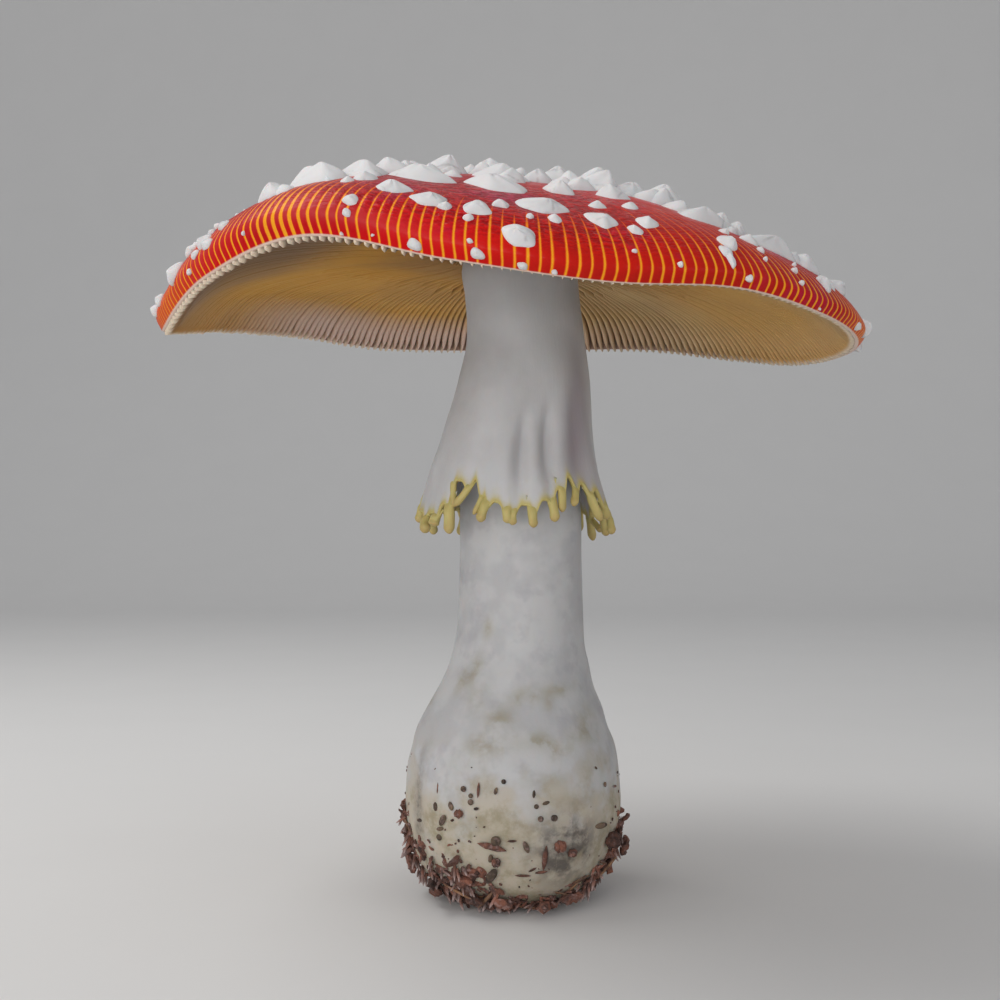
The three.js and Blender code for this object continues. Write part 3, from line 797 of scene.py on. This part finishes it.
# the sheet: outside rows climb from the hem to the stem, inside rows come back down one thickness within;
# at each finger the hem hangs lower by depth exp(-(distance / breadth)^2)
def makeSkirt(material, hem, fingers):
    angle = evenAngles(skirt["columns"])
    line = roundTable(hem, angle) + 0.1 * ripple(angle, 0, 43, 60)
    webs = 0
    for degrees, height, *_ in fingers:
        distance = np.radians(degreesPast(angle, degrees)) * skirt["webRadius"]
        near = np.exp(-(distance / skirt["webBreadth"]) ** 2)
        webs = np.maximum(webs, near * np.clip(line - height + skirt["webOverlap"], 0, skirt["webDepth"]))
    line = line - webs
    top = skirt["rows"][-1][0]
    above = (top - line) * np.linspace(0, 1, skirt["outerRows"])[:, None] ** 1.5
    beneath = (top - line) * np.linspace(1, 0, skirt["innerRows"])[:, None] ** 1.5
    outer = skirtPoint(angle, line + above, skirt["hemSwell"] * np.exp(-above / 0.9))
    inside = -skirt["thickness"] - skirt["hemSwell"] * np.exp(-beneath / 0.9)
    inner = skirtPoint(angle, line + beneath, inside)
    lip = skirtPoint(angle, line - skirt["hemLip"], -skirt["thickness"] / 2)[None]
    points = np.concatenate([outer, inner, lip])
    height = np.concatenate([above, beneath, 0 * line[None]])
    yellowing = np.exp(-np.maximum(height - 0.1 * webs, 0) / 0.95) * 1.15
    shade = marks(skirt["shades"], angle, line + height)
    makePiece("skirtSheet", closedBodies(points[None]), material, "skirt_veil", ["skirt"],
              **perVertex((1, *height.shape), False, hem=yellowing, shade=shade, tip=0.0))


# a finger is a bent stub: it leaves the sheet above its root, its half breadth is radius (1 + 1.1 e^(-5t))
# sideways and shrinks to a round end as sqrt(1 - ((t - 0.8) / 0.2)^2)
def makeFingers(material, fingers):
    rng = np.random.default_rng(19)
    t = np.concatenate([np.linspace(0.0, 1.0, skirt["fingerSteps"])[:-1], [0.97, 0.993]])
    phi = evenAngles(skirt["fingerColumns"])
    run = np.clip((t - 0.25) / 0.75, -0.4, 1)
    close = np.sqrt(np.clip(1 - np.maximum((t - 0.8) / 0.2, 0) ** 2, 0, 1))
    knob = 0.86 + 0.14 * np.exp(-((t - 0.88) / 0.14) ** 2)
    sunk = -0.22 - 0.22 * easeStep(t, 0.35, 0.1)
    grids = []
    for rootDegrees, rootHeight, tipDegrees, tipHeight, radius in fingers:
        angle = np.radians(rootDegrees + (tipDegrees - rootDegrees) * np.sign(run) * np.abs(run) ** 1.2)
        z = rootHeight + skirt["fingerRise"] * (1 - easeStep(t, 0, 0.3))
        z = z + (tipHeight - rootHeight) * np.maximum(run, 0)
        bend = rng.uniform(-0.5, 0.5) * np.sin(np.pi * t)
        spine = skirtPoint(angle + bend / 16, z, sunk + rng.uniform(-0.4, 0.5) * np.maximum(run, 0))
        along = np.gradient(spine, axis=0)
        along /= np.linalg.norm(along, axis=1, keepdims=True)
        side = np.cross(along, np.stack([np.cos(angle), np.sin(angle), 0 * angle], -1))
        side /= np.linalg.norm(side, axis=1, keepdims=True)
        out = np.cross(side, along)
        wide = radius * rng.uniform(0.8, 1.15) * (1 + 1.1 * np.exp(-5 * t)) * close * knob
        deep = radius * (0.16 + 0.84 * easeStep(t, 0.12, 0.5)) * close * knob
        wobble = 1 + 0.11 * ripple(phi, t[:, None] * 9, int(rng.integers(1000)), 3, 1.0)
        ring = side[:, None] * (np.cos(phi) * wide[:, None] * wobble)[..., None]
        ring = ring + out[:, None] * (np.sin(phi) * deep[:, None] * wobble)[..., None]
        grids.append((spine[:, None] + ring)[::-1])
    grids = np.array(grids)
    length = t[::-1, None]
    body = closedBodies(grids, grids[:, 0].mean(1), grids[:, -1].mean(1))
    makePiece("hemFingers", body, material, "skirt_veil",
              **perVertex(grids.shape[:3], hem=easeStep(length, -0.1, 0.22) * 1.2, shade=0.0, tip=length))


veil = skirtMaterial()
hemFingers, hemLine = wholeHem()
makeSkirt(veil, hemLine, hemFingers)
makeFingers(veil, hemFingers)
print("skirt made with", len(hemFingers), "hem fingers")


warts = {
    "columns": 44, "rings": 16, "sunk": 0.45, "edge": 0.22, "cornerSharpness": 7, "crumple": 0.04,
    # small ones: degrees, share down the skin, size
    "flecks": [
        (196, 0.86, 1.3), (201, 0.83, 1), (217, 0.92, 1), (219, 0.85, 1.5), (213.5, 0.73, 1.2),
        (221.5, 0.825, 1.5), (220.5, 0.76, 1.3), (220, 0.72, 1.2), (218, 0.61, 0.8), (219.5, 0.6, 0.6),
        (230.5, 0.9, 0.7), (228, 0.57, 2.6), (239.5, 0.61, 2), (243.5, 0.63, 2), (238, 0.445, 3),
        (239.5, 0.32, 4.6), (253.5, 0.36, 3), (247, 0.775, 2.2), (247, 0.85, 1.2), (246, 0.985, 0.5),
        (250.5, 0.945, 0.4), (259, 0.69, 2.2), (262.5, 0.74, 1.5), (263, 0.86, 0.8), (264, 0.93, 1.8),
        (256, 0.94, 1.9), (266.5, 0.6, 2.7), (269.5, 0.97, 1.3), (273.5, 0.985, 0.8), (270.5, 0.66, 1.2),
        (274, 0.65, 2), (283, 0.49, 2.6), (289.5, 0.48, 2.9), (285.5, 0.665, 2.7), (284, 0.79, 0.8),
        (290, 0.855, 0.9), (311.5, 0.52, 2.7), (304, 0.585, 1.6), (309, 0.6, 2.9), (301, 0.91, 1.1),
        (307.5, 0.685, 1.1), (306, 0.755, 0.7), (315, 0.705, 0.6), (312.5, 0.76, 1), (312, 0.83, 0.7),
        (331, 0.7, 1.6), (317.5, 0.97, 0.4), (333.5, 0.93, 1.6), (344, 0.88, 1.3), (245, 0.575, 3.4),
        (241, 0.33, 4.8), (268.5, 0.2, 4.6), (276, 0.23, 5), (282, 0.3, 4.2), (303.5, 0.3, 5.8),
        (323.5, 0.595, 3.6), (314, 0.5, 3.4), (248, 0.36, 4.4), (258, 0.2, 4.6), (236, 0.44, 5),
        (229.5, 0.6, 3.4), (289, 0.28, 4.4), (291, 0.2, 5), (307, 0.4, 4.6), (214, 0.76, 2.4),
        (197, 0.86, 2.6), (202, 0.84, 2.2), (224, 0.77, 1.8), (222, 0.84, 2), (312, 0.46, 4.2),
        (320, 0.53, 3.8), (232.9, 0.655, 3), (239.5, 0.45, 4.4), (240.7, 0.35, 5), (246, 0.24, 5.2),
        (255, 0.2, 5.4), (262, 0.25, 5.6), (266, 0.3, 5), (287.5, 0.24, 5.6), (296, 0.25, 5.6),
        (301, 0.3, 5.6), (305, 0.33, 5.4), (316, 0.44, 5.4), (320.5, 0.455, 4.6), (309, 0.335, 6.6),
        (293.5, 0.276, 8)],
    # long ones: degrees, share down, breadth, length and height in mm
    "drops": [
        (298.2, 0.765, 2, 2.8, 0.6), (298.4, 0.8, 1.2, 3.8, 0.6), (325.5, 0.72, 1.5, 3.6, 0.6),
        (236.4, 0.585, 9.6, 6.5, 2.7)],
    "fleckColumns": 20, "fleckRings": 6, "fleckTallest": 3.3, "backFlecks": 70, "crownWarts": 26,
    "backSizes": [0.7, 1.2, 2, 3.2], "crownSizes": (3, 6),
    # tall warts are broader than their plain solids, and those near the rim's left and right are smaller
    "broaden": 0.38, "shrink": 0.25,
    "white": (0.645, 0.635, 0.635), "grey": (0.36, 0.35, 0.35),
}


# where a wart's surface lies: a across and b downhill in mm from its centre are unrolled as polar
# coordinates about the crown, where r is the skin's radius and s its arc length at the wart's centre:
# the arc length becomes |(a s / r, s + b)| and the angle turns by atan2 of the two
def drape(angle, down, a, b, height):
    fine = np.linspace(0, 1, 300)
    line = skinPoint(angle, fine)
    length = np.concatenate([[0], np.cumsum(np.linalg.norm(np.diff(line, axis=0), axis=1))])
    middle = np.interp(down, fine, length)
    sideways = a * middle / (rimReach(angle) * rowValue(cap["skin"], down)[0])
    around = angle + np.arctan2(sideways, middle + b)
    lower = np.clip(np.interp(np.hypot(sideways, middle + b), length, fine), 0.004, 0.999)
    return skinPoint(around, lower) + skinFrame(around, lower)[0] * height[..., None]


# a low faceted cone: its outline is where flat sides with reach d meet, (sum (cos / d)^k)^(-1/k) with the
# cosine of the turn from each side's bearing; at share q of the way out the height is
# edge (1 - q^12) + (H - edge) (1 - q^e)^p, with p drawn for each side and a rounded peak
def wartBody(rng, angle, down, across, along, height, columns, rings):
    phi = evenAngles(columns)
    sides, sharp = int(rng.integers(5, 8)), warts["cornerSharpness"]
    bearing = (np.arange(sides) + rng.uniform(-0.3, 0.3, sides)) / sides * turn + rng.uniform(0, turn)
    facing = np.maximum(np.cos(phi[:, None] - bearing), 0) / rng.uniform(0.72, 1.1, sides)
    outline = (facing ** sharp).sum(-1) ** (-1 / sharp)
    outline = outline / outline.mean() * ringValue(rng.uniform(0.94, 1.06, 9), phi)
    q = np.concatenate([[1.0, 1.0], np.linspace(0.97, 0.06, rings)])[:, None]
    power = ringValue(rng.uniform(0.85, 1.15, sides), phi)
    blunt = rng.uniform(0.06, 0.2)
    soft = (np.sqrt(q ** 2 + blunt ** 2) - blunt) / (math.sqrt(1 + blunt ** 2) - blunt)
    flatness = np.clip(1.45 - 1.5 * height / (across + along), 0.98, 1.38)
    cone = np.clip(1 - soft ** flatness, 0, 1) ** power
    rise = warts["edge"] * (1 - q ** 12) + (height - warts["edge"]) * cone
    crumple = ripple(phi, q * 9, int(rng.integers(1000)), 5, 0.8) * np.sqrt(1 - q ** 2) * easeStep(q, 0, 0.2)
    rise = rise + warts["crumple"] * (height + 0.5) * crumple
    rise[0] = -warts["sunk"]
    peak = rng.uniform(-0.3, 0.3, 2)
    a = across * (peak[0] * (1 - q) + q * outline * np.sin(phi))
    b = along * (peak[1] * (1 - q) + q * outline * np.cos(phi))
    tops = np.array([-warts["sunk"], rise[-1].mean() * 1.01])
    ends = drape(angle, down, np.full(2, across * peak[0]), np.full(2, along * peak[1]), tops)
    return drape(angle, down, a, b, rise), ends


def wartMaterial():
    material = newMaterial("wartVeil", Roughness=0.75, Subsurface_Weight=0.12, Subsurface_Scale=0.0015)
    at = place(material)
    cloud = spread(noise(at, 240, 4, 0.6), 0.42, 0.7, 0.0, 0.35)
    cells = {"Vector": at, "Scale": 170, "Randomness": 1.0}
    veins = addNode("TexVoronoi", cells, feature="DISTANCE_TO_EDGE").outputs[0]
    crease = times(spread(veins, 0.06, 0.0), spread(cloud, 0.05, 0.25))
    marked = mixed(plus(times(cloud, 0.6), times(crease, 0.45)), warts["white"], warts["grey"])
    return finishMaterial(material, marked, minus(noise(at, 380, 4), times(crease, 0.5)), 0.08)


# angle, share down the skin, half sizes and height of a wart node, from its corner points and the
# nearest of a grid of skin points
def readWart(node):
    points = cornerPoints(node)
    angles, downs = np.meshgrid(evenAngles(720), np.linspace(0.02, 0.99, 200), indexing="ij")
    nearest = np.argmin(((skinPoint(angles, downs) - points.mean(0)) ** 2).sum(-1))
    angle, down = angles.flat[nearest], downs.flat[nearest]
    normal, around, downhill = skinFrame(angle, down)
    away = points - skinPoint(angle, down)
    across, along = (np.ptp(away @ (way / np.linalg.norm(way))) / 2 for way in (around, downhill))
    return angle, down, across, along, (away @ normal).max()


def makeWarts(material):
    for node in sorted(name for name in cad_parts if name.startswith("wart_")):
        rng = np.random.default_rng(100 + int(node[-2:]))
        angle, down, across, along, height = readWart(node)
        broad = 1 + warts["broaden"] * easeStep(height, 1.2, 2.2) * easeStep(down, 0.68, 0.6)
        small = 1 - warts["shrink"] * easeStep(down, 0.72, 0.82) * (np.cos(angle + 0.2) ** 2 > 0.3)
        across, along, height = across * broad * small, along * broad * small, height * small
        grid, ends = wartBody(rng, angle, down, across, along, height, warts["columns"], warts["rings"])
        body = closedBodies(grid[None], ends[:1], ends[1:])
        makePiece("wart" + node[-2:], body, material, "wart_veil", [node])


# small warts: the listed ones at the front, random ones behind and a crowd over the crown
def makeFlecks(material):
    rng = np.random.default_rng(52)
    spots = [(math.radians(degrees), down, size) for degrees, down, size in warts["flecks"]]
    for fleck in range(warts["backFlecks"]):
        down = 0.98 * rng.uniform(0.1, 1) ** 0.6
        angle = rng.uniform(-0.3, math.pi + 0.1)
        spots.append((angle, down, rng.choice(warts["backSizes"]) * (1.15 - 0.4 * down)))
    for fleck in range(warts["crownWarts"]):
        angle = fleck * 2.4 + rng.uniform(0, 0.6)
        down = 0.05 + 0.28 * (fleck / warts["crownWarts"]) ** 0.6
        spots.append((angle, down, rng.uniform(*warts["crownSizes"])))
    fine = warts["fleckColumns"], warts["fleckRings"]
    made = []
    for angle, down, size in spots:
        across, along = size / 2 * rng.uniform(0.9, 1.1), size / 2 * rng.uniform(0.9, 1.15)
        height = min(0.24 * size + 0.3 + 0.22 * max(size - 3, 0), warts["fleckTallest"])
        made.append(wartBody(rng, angle, down, across, along, height, *fine))
    for degrees, down, broad, long, height in warts["drops"]:
        made.append(wartBody(rng, math.radians(degrees), down, broad / 2, long / 2, height, *fine))
    grids, ends = (np.array(part) for part in zip(*made))
    makePiece("wartFlecks", closedBodies(grids, ends[:, 0], ends[:, 1]), material, "wart_veil")


wartVeil = wartMaterial()
makeWarts(wartVeil)
makeFlecks(wartVeil)
print("warts made")


soil = {
    "columns": 360, "rows": 64,
    # upper edge of the soil in mm, by degrees
    "top": [
        (0, 15), (30, 14), (60, 12), (90, 12), (120, 13), (150, 14), (180, 16), (195, 17), (206, 13),
        (222, 12), (235, 11.5), (248, 9.5), (256, 6.4), (264, 4), (275, 3.2), (290, 3.4), (300, 4.8),
        (312, 5.8), (325, 7.6), (338, 12.5), (350, 14.5)],
    # sizes in mm, for crumbs the scales that are drawn with the given shares, and how far specks reach above
    "crumbs": 430, "crumbSizes": (0.45, 1.1), "crumbScales": (0.8, 1, 2), "crumbShares": (0.46, 0.4, 0.14),
    "specks": 240, "speckSizes": (0.12, 0.45), "speckRise": 9, "chipSunk": 0.9, "clearance": 0.03,
    # thin debris: rise above the band, share of the height, ranges of length, breadth and depth in mm, mean
    # and deviation of the lean, range of the lift out of the surface
    "slivers": {
        "soilSpikes": {
            "kind": "spike", "count": 330, "above": 0, "lower": 0.85, "lean": (-90, 45), "lift": (8, 60),
            "sizes": ((1.3, 3.4), (0.7, 1.35), (0.45, 0.9)), "roughness": 0.25, "sunk": 0.1,
            "tone": (0.2, 1), "bleached": 1, "slot": "soil", "smooth": False},
        "soilSplinters": {
            "kind": "needle", "count": 38, "above": 1, "lower": 1, "lean": (0, 45), "lift": (-8, 25),
            "sizes": ((2, 5), (0.3, 0.8), (0.25, 0.5)), "roughness": 0.1, "sunk": 0,
            "tone": (0, 1), "bleached": 0, "slot": "needle", "smooth": True},
    },
    # single bits on the bulb: degrees, height, length, breadth, lean in degrees from level
    "bits": {
        "disc": [
            (244, 21.5, 1, 1, 0), (248, 20.5, 0.8, 0.8, 0), (248, 19.5, 1, 1, 0), (265, 23, 0.8, 0.8, 0),
            (229, 13, 1.1, 1.1, 0), (261, 13.5, 1.7, 1.7, 0), (281, 19, 0.8, 0.8, 0), (283, 17, 1, 1, 0),
            (290, 17, 1.2, 1.1, 10), (286, 23, 0.4, 0.4, 0)],
        "crumb": [
            (242, 17.5, 1.5, 1.4, 0), (261, 10, 1.5, 1.5, 0), (293, 12.5, 2.1, 2, 0),
            (301, 11, 1.6, 1.4, 0), (331, 11.5, 3, 2.6, 20)],
        "seed": [
            (261, 21.5, 1.2, 0.6, 75), (227, 18, 1.5, 0.9, 95), (237, 18.5, 1.5, 0.9, 112),
            (232, 16, 2.2, 1.1, 60), (230, 14.5, 1.6, 0.7, 15), (251, 18.5, 0.9, 0.5, 10),
            (214, 15, 1.7, 0.7, 10), (258, 7.5, 3.4, 1.5, 60), (258, 10.5, 1.5, 0.8, 80),
            (241, 13, 0.6, 0.4, 100), (286, 19.5, 1.3, 0.6, 15), (280, 21, 1.3, 0.5, 85),
            (276, 12.5, 2.2, 0.9, -68), (320, 14.5, 3.4, 1, -4), (325, 21, 0.9, 0.65, 80),
            (312, 18, 0.9, 0.35, 80), (225, 24, 0.6, 0.3, 50), (319, 24, 0.7, 0.4, -40),
            (248, 25, 0.4, 0.3, 0)],
        "needle": [
            (228, 21, 2.3, 0.4, 89), (252, 21.5, 2.6, 0.45, 86), (220, 21.5, 1.6, 0.35, -45),
            (213, 21, 1.3, 0.3, 0), (259, 12.5, 5, 1.1, -13), (286, 10.5, 4.6, 0.85, 88),
            (337, 20, 1.3, 0.4, -5), (285, 8, 2.2, 0.55, 4), (275, 7.5, 2.7, 0.45, -3),
            (280, 8.5, 1.6, 0.4, 30), (269, 13.5, 1.6, 0.4, 2)],
    },
    # depth of each kind as a share of its breadth, and how rough it is
    "bitDepth": {"disc": 0.5, "crumb": 0.9, "seed": 0.6, "needle": 0.7},
    "bitRoughness": {"disc": 0.07, "crumb": 0.25, "seed": 0.07, "needle": 0.07},
    # darker and lighter colours, and what a bit's tone multiplies them by
    "earth": ((0.055, 0.032, 0.027), (0.2, 0.085, 0.055)),
    "straw": ((0.13, 0.07, 0.04), (0.27, 0.155, 0.08)),
    "husk": ((0.05, 0.036, 0.028), (0.19, 0.14, 0.09)),
    "tones": ((0.45, 0.42, 0.42), (1.5, 1.35, 1.3)),
    "ash": (0.29, 0.21, 0.2), "tipColour": (0.46, 0.35, 0.33),
}


# unit directions round and up the stem's surface, and outward, at an angle and height
def stemFrame(angle, z):
    step = 0.01
    around = stemPoint(angle + step, z) - stemPoint(angle - step, z)
    upward = stemPoint(angle, z + step) - stemPoint(angle, z - step)
    around, upward = (way / np.linalg.norm(way, axis=-1, keepdims=True) for way in (around, upward))
    return around, upward, np.cross(around, upward)


# tone is each bit's own lightness from 0 to 1, and tip is how bleached a point of it is
def soilMaterial(name, colours, relief):
    material = newMaterial(name, Roughness=0.88)
    at = place(material)
    body = mixed(spread(noise(at, 520, 5, 0.65), 0.35, 0.65), *colours)
    body = mixed(spread(noise(at, 1400, 3, 0.6), 0.5, 0.7, 0.0, 0.6), body, soil["ash"])
    body = mixed(1.0, body, mixed(reading(material, "tone"), *soil["tones"]), "MULTIPLY")
    body = mixed(times(reading(material, "tip"), 0.8), body, soil["tipColour"])
    return finishMaterial(material, body, noise(at, 1100, 4, 0.7), relief)


# half breadth of a bit along its length, t from 0 to 1
def bitProfile(kind, t):
    bulge = 4 * t * (1 - t)
    return {"seed": np.sqrt(bulge), "crumb": bulge ** 0.35, "disc": bulge ** 0.5,
            "needle": np.minimum(1, 3.2 * np.minimum(t, 1 - t) + 0.1),
            "spike": (1 - t) ** 0.6 * (0.7 + 0.6 * t)}[kind]


# spindle-shaped bodies in arrays: along each axis the half breadth follows the kind's profile, every ring is
# pushed in and out at random by the roughness, and a body that reaches below the floor is lifted onto it
def spindles(centre, axis, side, sizes, kind, roughness, rng, rows=5, columns=6):
    t = (np.arange(rows) + 0.5) / rows
    phi = (np.arange(columns) + 0.5) / columns * turn
    up = np.cross(axis, side)
    length, breadth, depth = np.asarray(sizes, float).T[:, :, None, None]
    push = 1 + roughness * rng.uniform(-1, 1, (len(centre), rows, columns))
    u = length * (t[:, None] - 0.5) * np.ones_like(push)
    profile = bitProfile(kind, t)[:, None]
    v, w = (size / 2 * profile * way(phi) * push for size, way in ((breadth, np.cos), (depth, np.sin)))
    u = u + roughness * 0.12 * length * rng.uniform(-1, 1, push.shape)
    ways = ((axis, u), (side, v), (up, w))
    grid = centre[:, None, None] + sum(way[:, None, None] * share[..., None] for way, share in ways)
    ends = [centre + axis * length[:, 0] * share for share in (-0.5, 0.5)]
    lowest = np.minimum(grid[..., 2].min((1, 2)), np.minimum(ends[0][:, 2], ends[1][:, 2]))
    lift = np.array([0, 0, 1]) * np.maximum(soil["clearance"] - lowest, 0)[:, None]
    return grid + lift[:, None, None], ends[0] + lift, ends[1] + lift


# places a set of bits: each lies "lean" degrees from level in the surface, tipped "lift" degrees out of it
def layBits(angle, z, lean, lift, sizes, kind, roughness, rng, sunk=0.1, rows=5, columns=6):
    around, upward, outward = stemFrame(angle, z)
    lean, lift = np.radians(lean)[:, None], np.radians(lift)[:, None]
    level = around * np.cos(lean) + upward * np.sin(lean)
    side = around * -np.sin(lean) + upward * np.cos(lean)
    axis = level * np.cos(lift) + outward * np.sin(lift)
    stand = sizes[:, 2:] * (0.5 - sunk) + 0.5 * sizes[:, :1] * np.sin(np.abs(lift))
    centre = stemPoint(angle, z) + outward * stand
    return spindles(centre, axis, side, sizes, kind, roughness, rng, rows, columns)


def makeBits(name, laid, material, tone, tip=0.0, slotName="soil", replaced=(), smooth=True):
    shape = laid[0].shape[:3]
    tone = np.asarray(tone)[:, None, None]
    tip = np.broadcast_to(tip, shape[:2])[..., None]
    values = perVertex(shape, tone=tone, tip=tip)
    makePiece(name, closedBodies(*laid), material, slotName, replaced, smooth, **values)


# the earth skin: its outside stands off the bulb by a lumpy layer under the soil's upper line and dives
# beneath the flesh above it, so that its edge comes out ragged
def makeSoilSkin(material):
    angle = evenAngles(soil["columns"])
    upper = roundTable(soil["top"], angle) + 0.9 * ripple(angle, 0, 61, 30)
    z = 0.05 + (upper + 1.5) * np.linspace(0, 1, soil["rows"])[:, None]
    ragged = ripple(angle, z, 62, 24, 2.4)
    patch = easeStep(upper - z + 1.6 * ragged, 0.2, 2.4) * easeStep(ragged, -0.4, 0.4)
    patch = patch * easeStep(ripple(angle, z, 65, 40, 3.0), -1.0, -0.2)
    lumps = 0.35 + 0.3 * ripple(angle, z, 63, 50, 4.0) + 0.25 * ripple(angle, z, 64, 120, 9.0)
    out = -0.5 + patch * (0.5 + np.clip(lumps, 0.1, 1.2))
    points = stemPoint(angle, z, out * easeStep(z, 0, 0.6) + 0.3 * easeStep(z, 0.6, 0))
    body = closedBodies(points[None], np.array([[0, 0, 0.02]]), np.array([[0, 0, 9.0]]))
    makePiece("soilSkin", body, material, "soil", ["soil_crust"],
              **perVertex((1, *z.shape), tone=np.clip(0.5 + 0.3 * ragged, 0, 1), tip=0.0))


# random places in the soil's band, thicker towards its lower edge and sparser where the band is narrow
def bandPlaces(rng, count, above=0.0):
    angle = rng.uniform(0, turn, 4 * count)
    top = roundTable(soil["top"], angle) + above
    kept = np.flatnonzero(rng.uniform(0, 1, 4 * count) < (top + 3) / 22)[:count]
    return angle[kept], 0.8 + (top[kept] - 0.8) * rng.uniform(0, 1, len(kept)) ** 1.2


def makeCrumbs(rng, material):
    angle, z = bandPlaces(rng, soil["crumbs"])
    count = len(z)
    size = rng.uniform(*soil["crumbSizes"], count)
    size = size * rng.choice(soil["crumbScales"], count, p=soil["crumbShares"])
    sizes = np.stack([size * rng.uniform(1.2, 3.0, count), size, size * rng.uniform(0.35, 0.85, count)], -1)
    lean, lift = rng.uniform(0, 360, count), rng.uniform(-35, 35, count)
    laid = layBits(angle, z, lean, lift, sizes, "crumb", 0.55, rng, rows=4, columns=5)
    makeBits("soilCrumbs", laid, material, rng.uniform(0, 1, count) ** 1.4, smooth=False)


# thin debris: spikes of earth that lean downhill, paler towards their tips, and dry splinters
def makeSlivers(rng, materials):
    for name, values in soil["slivers"].items():
        angle, z = bandPlaces(rng, values["count"], values["above"])
        count = len(z)
        sizes = np.stack([rng.uniform(low, high, count) for low, high in values["sizes"]], -1)
        lean, lift = rng.normal(*values["lean"], count), rng.uniform(*values["lift"], count)
        kind, roughness, sunk = values["kind"], values["roughness"], values["sunk"]
        laid = layBits(angle, z * values["lower"], lean, lift, sizes, kind, roughness, rng, sunk)
        tone, tip = rng.uniform(*values["tone"], count), values["bleached"] * (np.arange(5) / 4) ** 3
        slotName = values["slot"]
        makeBits(name, laid, materials[slotName], tone, tip, slotName, smooth=values["smooth"])


def makeSpecks(rng, material):
    angle, z = bandPlaces(rng, soil["specks"], soil["speckRise"])
    count = len(z)
    size = rng.uniform(*soil["speckSizes"], count)
    sizes = np.stack([size * 1.6, size, size * 0.6], -1)
    lean = rng.uniform(0, 180, count)
    laid = layBits(angle, z, lean, 0 * lean, sizes, "crumb", 0.25, rng, 0.2, 4, 5)
    makeBits("soilSpecks", laid, material, rng.uniform(0, 0.5, count))


# the listed bits, one piece for each kind
def makeBulbBits(rng, material, husk):
    for kind, rows in soil["bits"].items():
        degrees, z, length, breadth, lean = np.array(rows, float).T
        sizes = np.stack([length, breadth, breadth * soil["bitDepth"][kind]], -1)
        roughness = soil["bitRoughness"][kind]
        angle, finish = np.radians(degrees), husk if kind in ("disc", "seed") else material
        laid = layBits(angle, z, lean, 0 * lean, sizes, kind, roughness, rng, rows=8, columns=10)
        tone = rng.uniform(0, 0.7, len(rows))
        makeBits("bulb" + kind.capitalize() + "s", laid, finish, tone, smooth=kind != "crumb")


# one debris node's centre, axes and sizes from the spread of its corner points
def readChip(node):
    points = cornerPoints(node)
    middle = (points.min(0) + points.max(0)) / 2
    axes = np.linalg.svd(points - points.mean(0))[2]
    return middle[None], axes[:, None], np.ptp((points - middle) @ axes.T, axis=0)[None]


def makeChips(material, pale):
    rng = np.random.default_rng(83)
    # node prefix: piece name, kind, roughness, material, slot, smooth
    kinds = {"bark_chip": ("barkChip", "crumb", 0.34, material, "soil", False),
             "needle": ("pineNeedle", "needle", 0.06, pale, "needle", True)}
    for node in sorted(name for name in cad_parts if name.startswith(tuple(kinds))):
        name, kind, roughness, finish, slotName, smooth = kinds[node[:-3]]
        middle, axes, sizes = readChip(node)
        inward = np.array([*stemPoint(0.0, middle[0, 2])[:2] - middle[0, :2], 0])
        middle = middle + soil["chipSunk"] * inward / np.linalg.norm(inward)
        laid = spindles(middle, axes[0], axes[1], sizes, kind, roughness, rng, 7, 8)
        makeBits(name + node[-2:], laid, finish, [rng.uniform(0.3, 0.9)], 0.0, slotName, [node], smooth)


earth = soilMaterial("crumblyEarth", soil["earth"], 0.25)
straw = soilMaterial("dryNeedle", soil["straw"], 0.08)
makeSoilSkin(earth)
debrisRandom = np.random.default_rng(71)
makeCrumbs(debrisRandom, earth)
makeSlivers(debrisRandom, {"soil": earth, "needle": straw})
makeSpecks(debrisRandom, earth)
makeBulbBits(debrisRandom, earth, soilMaterial("huskBrown", soil["husk"], 0.15))
makeChips(earth, straw)
print("soil and debris made")
